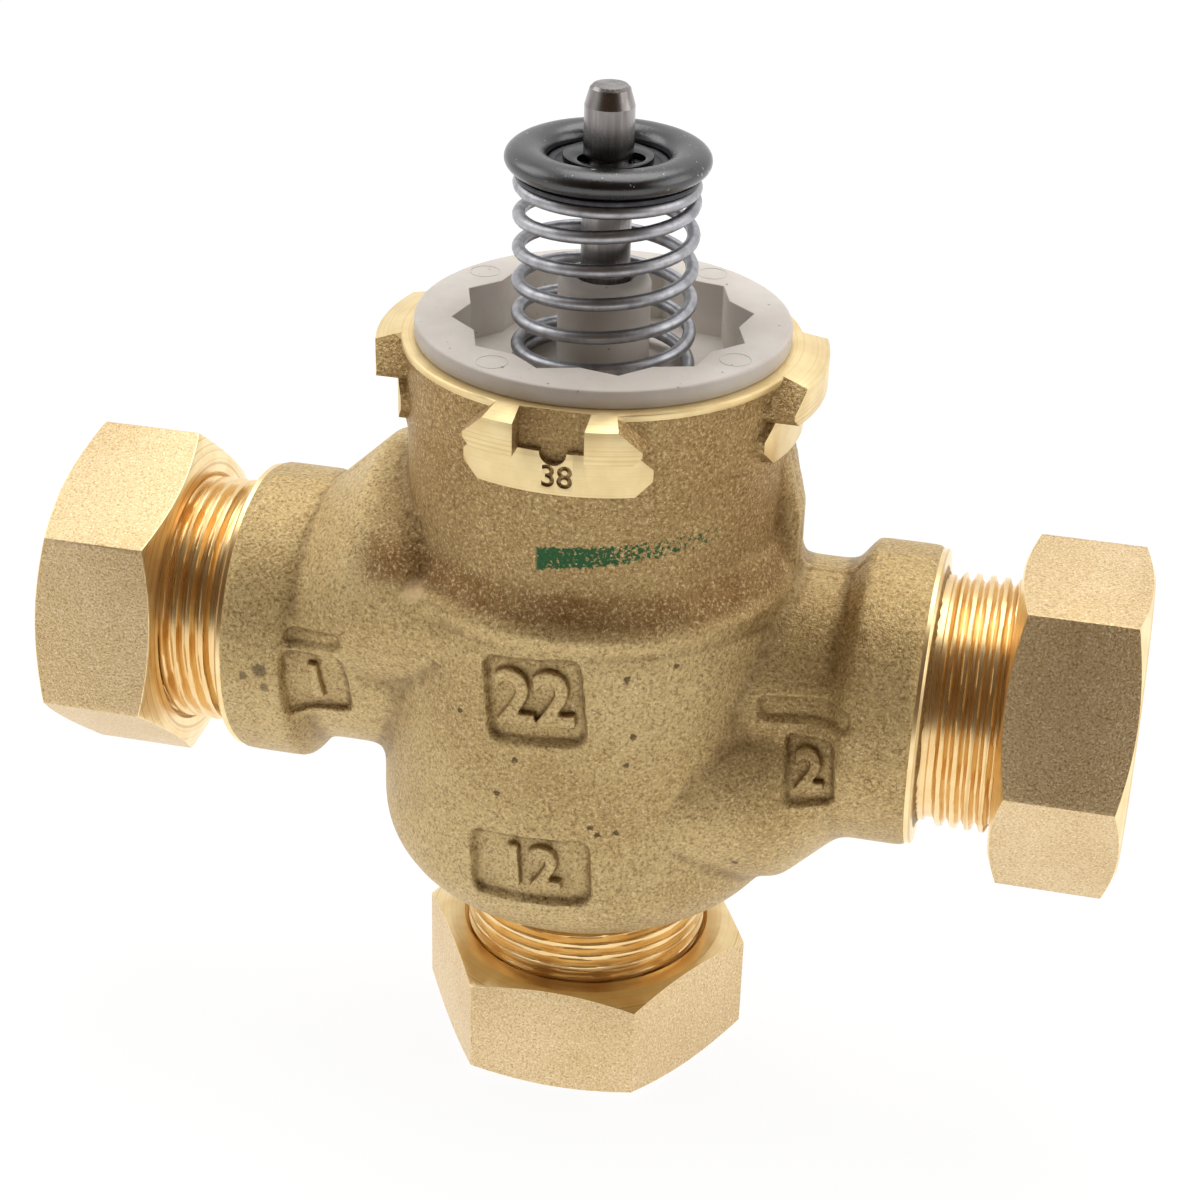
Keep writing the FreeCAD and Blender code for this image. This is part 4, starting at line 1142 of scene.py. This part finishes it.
def lay_on_casting(thing, tree, x, z, turn, root):
    """Move each point to the metal in front of it, keeping its own height above that."""
    spin = Matrix.Rotation(math.radians(-turn), 4, "Y")
    for point in thing.data.vertices:
        own = spin @ point.co
        start = Vector((own.x + x * MM, BEFORE_CASTING, own.z + PORT_Z + z * MM))
        metal = tree.ray_cast(start, Vector((0, 1, 0)))[0]
        point.co = Vector((start.x, metal.y + own.y + root * MM, start.z))


def make_numbers():
    """The raised numbers, one by one, on the finished skin."""
    tree = tree_of(casting)
    for name, words, x, z, size, turn, height in NUMBERS:
        thick = height + NUMBER_ROOT
        thing = flat_text(name, words, size, thick, NUMBER_STROKE)
        apply_modifier(thing, "REMESH", mode="VOXEL", voxel_size=NUMBER_VOXEL * MM)
        apply_modifier(thing, "SMOOTH", factor=0.5, iterations=3)
        lay_on_casting(thing, tree, x, z, turn, NUMBER_ROOT - thick / 2)
        thing.data.materials.append(CAST)
        yield finish_piece(thing, "valve", "cast_brass", smooth=60.0)


numbers = list(make_numbers())

# %% [markdown]
# Painted shade darkens the brass where the skin is hollow: in creases, at the panels' edges and
# round the numbers. How hollow the skin is at a point shows when it is smoothed, because a hollow
# moves outwards. That is kept on the points, and the brass reads it.

# %% Painted shade in the hollows
HOLLOW_SCALES = (
    # turns of smoothing, movement in millimetres that counts as hollow, its share
    (3, 0.05, 0.48),
    (30, 0.30, 0.12),
)
NUMBER_HALO = 0.38


def smoothed(points, first, second, turns):
    """The points after so many turns of moving each one to the middle of its neighbours."""
    ends = np.concatenate((first, second))
    others = np.concatenate((second, first))
    count = np.maximum(np.bincount(ends, minlength=len(points)), 1)
    for _ in range(turns):
        points = np.stack([np.bincount(ends, points[others, axis], len(points)) / count
                           for axis in range(3)], axis=1)
    return points


def beside_numbers(points, hollow):
    """Painted shade round the foot of each raised number."""
    for thing in numbers:
        tree = tree_of(thing)
        own = points_of(thing)
        low, high = own.min(axis=0) - NUMBER_HALO, own.max(axis=0) + NUMBER_HALO
        inside = ((points > low) & (points < high)).all(axis=1)
        for place in np.nonzero(inside)[0]:
            gap = tree.find_nearest(Vector(row_point(points[place])))[3] / MM
            hollow[place] = max(hollow[place], 1.0 - gap / NUMBER_HALO)


def note_hollows(thing):
    """Keep on each point how hollow the skin is there, from 0 to 1."""
    points = points_of(thing)
    first, second = edge_ends(thing)
    normals = normals_of(thing)
    hollow = np.zeros(len(points))
    for turns, full, share in HOLLOW_SCALES:
        moved = ((smoothed(points, first, second, turns) - points) * normals).sum(axis=1)
        print("hollows:", turns, "turns move half the points over", np.median(moved).round(3))
        hollow += np.clip(moved / full, 0, 1) * share
    hollow = np.clip(hollow, 0, 1)
    beside_numbers(points, hollow)
    kept = thing.data.attributes.new("hollow", "FLOAT", "POINT")
    kept.data.foreach_set("value", hollow)


note_hollows(casting)

# %% [markdown]
# The rim, the lugs' outer faces and the pads are turned to one radius each, so they are pale and
# straight-edged, while the flanks between stay as cast. They come straight from the solid. The
# neck between them is drawn in a little, so that the skin made above covers it.

# %% Machined rim and lugs
LUG_RADIUS = 23.0
PAD_RADIUS = 20.8
RIM_RADIUS = 20.4
RIM_LEVEL = 36.0
BORE_RADIUS = 17.6
FACING_UP = 0.8
FACING_OUT = 0.9
TURNED_WITHIN = 0.12
RIM_WITHIN = 0.3
NECK_WALL = (18.5, 19.85)
NECK_DRAWN_IN = 0.5
STAMP = "38"
STAMP_DEPTH = 0.35
STAMP_VOXEL = 0.09
STAMP_SIZE = 3.2
STAMP_STROKE = 0.06
STAMP_THICK = 2.0
STAMP_PLACE = (0.4, 30.2)


def is_turned(centre, normal):
    """True for a face that the lathe made: rim, lug tops, lug and pad fronts, bores."""
    x, y, z = centre / MM - Vector(PORT_CENTRE)
    radius = math.hypot(x, y)
    outward = (normal.x * x + normal.y * y) / max(radius, 0.001)
    level_top = normal.z > FACING_UP and z > RIM_LEVEL
    off_front = min(abs(radius - LUG_RADIUS), abs(radius - PAD_RADIUS))
    front = outward > FACING_OUT and off_front < TURNED_WITHIN
    rim = z > RIM_LEVEL and abs(radius - RIM_RADIUS) < RIM_WITHIN
    return level_top or front or rim or radius < BORE_RADIUS


def stamp_number(thing):
    """Sink a plain number into the front pad."""
    cutter = flat_text("stamp_cutter", STAMP, STAMP_SIZE, STAMP_THICK, STAMP_STROKE)
    apply_modifier(cutter, "REMESH", mode="VOXEL", voxel_size=STAMP_VOXEL * MM)
    cutter.data.materials.append(CAST)
    middle = PAD_RADIUS - STAMP_DEPTH + STAMP_THICK / 2
    cutter.data.transform(Matrix.Translation(row_point((STAMP_PLACE[0], -middle, STAMP_PLACE[1]))))
    before = len(thing.data.polygons)
    apply_modifier(thing, "BOOLEAN", object=cutter, operation="DIFFERENCE", solver="EXACT")
    print("stamp:", before, "to", len(thing.data.polygons), "faces")
    bpy.data.objects.remove(cutter)


def draw_in_neck(thing):
    """Move the neck's own wall inwards, under the skin."""
    points = points_of(thing)
    radius = np.hypot(points[:, 0], points[:, 1])
    neck = (radius > NECK_WALL[0]) & (radius < NECK_WALL[1]) & (points[:, 2] < RIM_LEVEL)
    scale = np.where(neck, (radius - NECK_DRAWN_IN) / radius, 1.0)
    points[:, :2] *= scale[:, None]
    set_points(thing, points)


def make_machined_top():
    """The rim, lugs and pads, straight from the solid."""
    top = merged_copy("valve_body", "valve_machined_top")
    cut_level(top, NECK_TOP, keep_above=True)
    top.data.materials.append(CAST)
    top.data.materials.append(MILLED)
    stamp_number(top)
    break_edges(top, 0.12, 35)
    draw_in_neck(top)
    for face in top.data.polygons:
        face.material_index = 1 if is_turned(face.center, face.normal) else 0
    return finish_piece(top, "valve", "cast_brass", smooth=30.0)


make_machined_top()

# %% [markdown]
# Each spigot's shoulder is a turned face, a bright ring round the root of the thread. It is made
# as one would draw it by hand: a circle is extruded and resized from corner to corner of the
# ring's section, until it comes back to where it began, and then it is swung to its port.

# %% Turned shoulders
SHOULDER_RADIUS = {"a": 15.7, "b": 15.7, "ab": 13.75}
SHOULDER_BORE = 12.3
SHOULDER_THICK = 0.9
SHOULDER_PROUD = 0.02
SHOULDER_CHAMFER = (0.2, 0.25)
SHOULDER_DRAFT = 0.1
SHOULDER_ROUND = 128


def swing_to_port(port):
    """The turn that takes the stem's axis to a port's axis."""
    return {"a": Matrix.Rotation(math.radians(-90), 4, "Y"),
            "b": Matrix.Rotation(math.radians(90), 4, "Y"),
            "ab": Matrix.Rotation(math.radians(180), 4, "X")}[port]


def extrude_ring(name, port, section):
    """A ring from a closed section of (radius, distance along the port's axis) corners."""
    radius, along = section[0]
    bpy.ops.mesh.primitive_circle_add(vertices=SHOULDER_ROUND, radius=radius * MM)
    ring = bpy.context.object
    ring.name = name
    ring.data.transform(Matrix.Translation((0, 0, along * MM)))
    open_all(ring)
    for next_radius, next_along in (*section[1:], section[0]):
        step = (0, 0, (next_along - along) * MM)
        bpy.ops.mesh.extrude_region_move(TRANSFORM_OT_translate={"value": step})
        growth = next_radius / radius
        bpy.ops.transform.resize(value=(growth, growth, 1), center_override=(0, 0, next_along * MM))
        radius, along = next_radius, next_along
    bpy.ops.mesh.select_all(action="SELECT")
    bpy.ops.mesh.remove_doubles(threshold=MERGED_WITHIN)
    bpy.ops.mesh.normals_make_consistent(inside=False)
    bpy.ops.object.mode_set(mode="OBJECT")
    ring.data.transform(Matrix.Translation((0, 0, PORT_Z)) @ swing_to_port(port))
    return ring


def make_shoulder(port):
    """The turned ring at the end of one collar, or of the foot."""
    end = {**COLLAR_END, "ab": FOOT_END}[port]
    radius, back, face = SHOULDER_RADIUS[port], end - SHOULDER_THICK, end + SHOULDER_PROUD
    in_by, back_by = SHOULDER_CHAMFER
    section = ((SHOULDER_BORE, back), (radius - SHOULDER_DRAFT, back), (radius, face - back_by),
               (radius - in_by, face), (SHOULDER_BORE, face))
    ring = extrude_ring("shoulder_" + port, port, section)
    ring.data.materials.append(GOLD[TURNED_ABOUT[port]])
    finish_piece(ring, "valve", "cast_brass", smooth=30.0)


for port in SHOULDER_RADIUS:
    make_shoulder(port)

# %% [markdown]
# The threads are true helices. A screw modifier could make one, but not its soft start and its
# chamfered end, so the sleeve is built ring by ring round the port's axis. The radius follows the
# thread's wave, which depends on the place along the axis less the turn. A smaller ring at each
# end, joined by a plain wall inside, closes it over the casting's spigot.

# %% Threads
PITCH = 1.5
CREST = 13.45
ROOT = 12.62
BAND = 13.05
BAND_END = 1.35
THREAD_BEGINS = 1.7
THREAD_GROWS = 0.5
FLANK_SLOPE = 1.5
FLANK_DROP = 0.12
CHAMFER_LENGTH = 1.0
CHAMFER_SLOPE = 0.9
THREAD_ROUND = 144
THREAD_STEP = 0.125
SLEEVE_INSIDE = SPIGOT_SHELL - 0.1
SPIGOTS = {
    # port: (place of the casting's face, place of the spigot's end) along the axis, millimetres
    "a": (37.3, 51.15),
    "b": (36.3, 51.15),
    "ab": (26.5, 40.95),
}


def thread_radius(along, turn, length):
    """The outside radius at a distance from the casting and a turn, for a right-hand thread."""
    phase = (along / PITCH - turn / (2 * math.pi)) % 1.0
    wave = 0.5 + 0.5 * math.cos(2 * math.pi * phase)
    flank = min(1.0, max(0.0, wave * FLANK_SLOPE - FLANK_DROP))
    crest = CREST - (CREST - ROOT) * (1 - flank)
    grown = min(1.0, max(0.0, (along - THREAD_BEGINS) / THREAD_GROWS))
    root = BAND if along < BAND_END else ROOT
    chamfer = CREST - max(0.0, along - (length - CHAMFER_LENGTH)) * CHAMFER_SLOPE
    return min(root + (crest - root) * grown, chamfer)


def make_thread(port):
    """One spigot's threaded sleeve."""
    begin, end = SPIGOTS[port]
    length = end - begin
    rows = int(length / THREAD_STEP)
    turns = [2 * math.pi * column / THREAD_ROUND for column in range(THREAD_ROUND)]
    places = [length * row / rows for row in range(rows + 1)]
    rings = [(along, [thread_radius(along, turn, length) for turn in turns]) for along in places]
    inside = [SLEEVE_INSIDE] * THREAD_ROUND
    mesh = bmesh.new()
    swing = Matrix.Translation((0, 0, PORT_Z)) @ swing_to_port(port)
    loops = []
    for along, radii in [(0.0, inside), *rings, (length, inside)]:
        loops.append([mesh.verts.new(swing @ (Vector((radius * math.cos(turn), radius * math.sin(turn),
                                                      begin + along)) * MM))
                      for turn, radius in zip(turns, radii)])
    for low, high in zip(loops, loops[1:] + loops[:1]):
        for column in range(THREAD_ROUND):
            before = column - 1
            mesh.faces.new((low[before], low[column], high[column], high[before]))
    bmesh.ops.recalc_face_normals(mesh, faces=mesh.faces)
    thing = add_object("thread_" + port, bpy.data.meshes.new("thread_" + port))
    mesh.to_mesh(thing.data)
    mesh.free()
    thing.data.materials.append(THREAD[TURNED_ABOUT[port]])
    return finish_piece(thing, "valve", "cast_brass", smooth=50.0)


for port in SPIGOTS:
    make_thread(port)

# %% [markdown]
# A compression nut is cut from hexagon bar: the six flats keep the bar's sandy skin, and the
# lathe leaves a bright cone at each end and a bright face and bore. The faces are told apart by
# their direction against the nut's axis.

# %% Nuts
NUT_AXES = {"a": Vector((-1, 0, 0)), "b": Vector((1, 0, 0)), "ab": Vector((0, 0, -1))}
FLAT_RADIUS = 15.6
FLAT_FACING = 0.3


def make_nut(port):
    """One nut, with the bar's skin on its flats and turned metal elsewhere."""
    node = "nut_" + port
    nut = merged_copy(node, "compression_" + node)
    break_edges(nut, 0.16, 20)
    nut.data.materials.append(NUT_FLAT)
    nut.data.materials.append(GOLD[TURNED_ABOUT[port]])
    axis = NUT_AXES[port]
    for face in nut.data.polygons:
        arm = face.center / MM - Vector(PORT_CENTRE)
        radius = (arm - axis * arm.dot(axis)).length
        across = abs(face.normal.dot(axis))
        face.material_index = 0 if across < FLAT_FACING and radius > FLAT_RADIUS else 1
    return finish_piece(nut, node + "_body", "nut_brass", node, smooth=25.0)


for port in NUT_AXES:
    make_nut(port)

# %% [markdown]
# The return spring is drawn wire in a right-hand helix with its end coils laid flat. A smooth
# curve carries the wire, and it is made a mesh.

# %% Spring
WIRE = 0.67
COIL_RADIUS = 8.78
COILS = 5.5
FLAT_TURNS = 0.62
SPRING_FLOOR = 33.0
SPRING_TOP = 53.4
SPRING_GAP = 0.06
POINTS_PER_TURN = 24


def coil_height(turns):
    """Height of the wire's middle after so many turns: level at both ends."""
    low = SPRING_FLOOR + SPRING_GAP + WIRE
    high = SPRING_TOP - SPRING_GAP - WIRE
    share = min(1.0, max(0.0, turns / COILS))
    return low + (high - low) * share


def make_spring():
    """The wire as a curve through a helix, made a mesh."""
    steps = int((COILS + 2 * FLAT_TURNS) * POINTS_PER_TURN)
    line = bpy.data.curves.new("spring_line", "CURVE")
    line.dimensions = "3D"
    line.bevel_depth = WIRE * MM
    line.bevel_resolution = 4
    line.use_fill_caps = True
    spline = line.splines.new("NURBS")
    spline.points.add(steps)
    for step in range(steps + 1):
        turns = -FLAT_TURNS + (COILS + 2 * FLAT_TURNS) * step / steps
        angle = 2 * math.pi * turns
        place = row_point((COIL_RADIUS * math.cos(angle), COIL_RADIUS * math.sin(angle),
                           coil_height(turns)))
        spline.points[step].co = (*place, 1.0)
    spline.order_u = 3
    spline.use_endpoint_u = True
    spline.resolution_u = 2
    add_object("return_coil", line)
    bpy.ops.object.convert(target="MESH")
    thing = bpy.context.object
    thing.data.materials.append(WIRE_STEEL)
    finish_piece(thing, "valve", "spring_steel", "return_spring", smooth=60.0)
    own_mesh(thing)


make_spring()

# %% [markdown]
# The rubber ring is oval in section. A torus of the ring's own radius is flattened to its height.

# %% Bumper ring
low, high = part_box("bumper_ring")
BUMPER_HALF_HEIGHT = (high.z - low.z) / 2
BUMPER_OUTER = (high.x - low.x) / 2
BUMPER_HALF_WIDTH = 2.09 * MM


def make_bumper():
    """The oval ring round the cap."""
    bpy.ops.mesh.primitive_torus_add(major_segments=128, minor_segments=40,
                                     major_radius=BUMPER_OUTER - BUMPER_HALF_WIDTH,
                                     minor_radius=BUMPER_HALF_WIDTH)
    ring = bpy.context.object
    ring.name = "bumper"
    flat = Matrix.Diagonal((1, 1, BUMPER_HALF_HEIGHT / BUMPER_HALF_WIDTH, 1))
    ring.data.transform(Matrix.Translation((0, 0, (low.z + high.z) / 2)) @ flat)
    ring.data.materials.append(BUMPER)
    return finish_piece(ring, "plunger", "bumper_rubber", "bumper_ring", smooth=60.0)


make_bumper()

# %% [markdown]
# The bonnet, stem, cap and clip keep the solids' shapes, with their edges broken. The bonnet also
# shows the round marks that the mould's ejector pins leave.

# %% Bonnet, stem and cap
softened("bonnet", "moulded_bonnet", "valve", "bonnet_plastic", BONNET, 0.14)
softened("stem", "ground_stem", "plunger", "stem_steel", STEM_STEEL, 0.08, smooth=11.0)
softened("spring_plate", "spring_cap", "plunger", "black_steel", CAP_BLACK, 0.1)
softened("stem_clip", "stem_e_clip", "plunger", "clip_black", CLIP_BLACK, 0.08)

FLANGE_TOP = 38.8
EJECTOR_RADIUS = 1.55
EJECTOR_LINE = 0.05
EJECTOR_PLACE = 16.75
EJECTOR_ANGLES = (-117, 151, -27, 60)


def make_ejector_marks():
    """Thin rings, half sunk in the flange."""
    for number, degrees in enumerate(EJECTOR_ANGLES, start=1):
        angle = math.radians(degrees)
        place = row_point((EJECTOR_PLACE * math.cos(angle), EJECTOR_PLACE * math.sin(angle),
                           FLANGE_TOP))
        bpy.ops.mesh.primitive_torus_add(major_segments=48, minor_segments=10,
                                         major_radius=EJECTOR_RADIUS * MM,
                                         minor_radius=EJECTOR_LINE * MM)
        ring = bpy.context.object
        ring.name = "ejector_mark_%d" % number
        ring.data.transform(Matrix.Translation(place))
        ring.data.materials.append(BONNET)
        finish_piece(ring, "valve", "bonnet_plastic", smooth=60.0)


make_ejector_marks()

# %% [markdown]
# What can't be seen keeps the solids as they are, each in its own finish.

# %% Pieces inside
INSIDE = {
    "olive_a": OLIVE, "olive_b": OLIVE, "olive_ab": OLIVE, "flow_sleeve": SLEEVE,
    "sleeve_seal_upper": SEAL, "sleeve_seal_middle": SEAL, "sleeve_seal_lower": SEAL,
    "bonnet_seal": SEAL, "stem_seal_upper": SEAL, "stem_seal_lower": SEAL, "gland_bush": BUSH,
    "spool": SPOOL, "spool_seal_upper": SEAL, "spool_seal_lower": SEAL,
    "spool_washer": STEM_STEEL, "spool_clip": CLIP_BLACK,
}
for node, material in INSIDE.items():
    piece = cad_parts[node]
    piece.data.materials.clear()
    piece.data.materials.append(material)
print(len(INSIDE), "pieces inside")
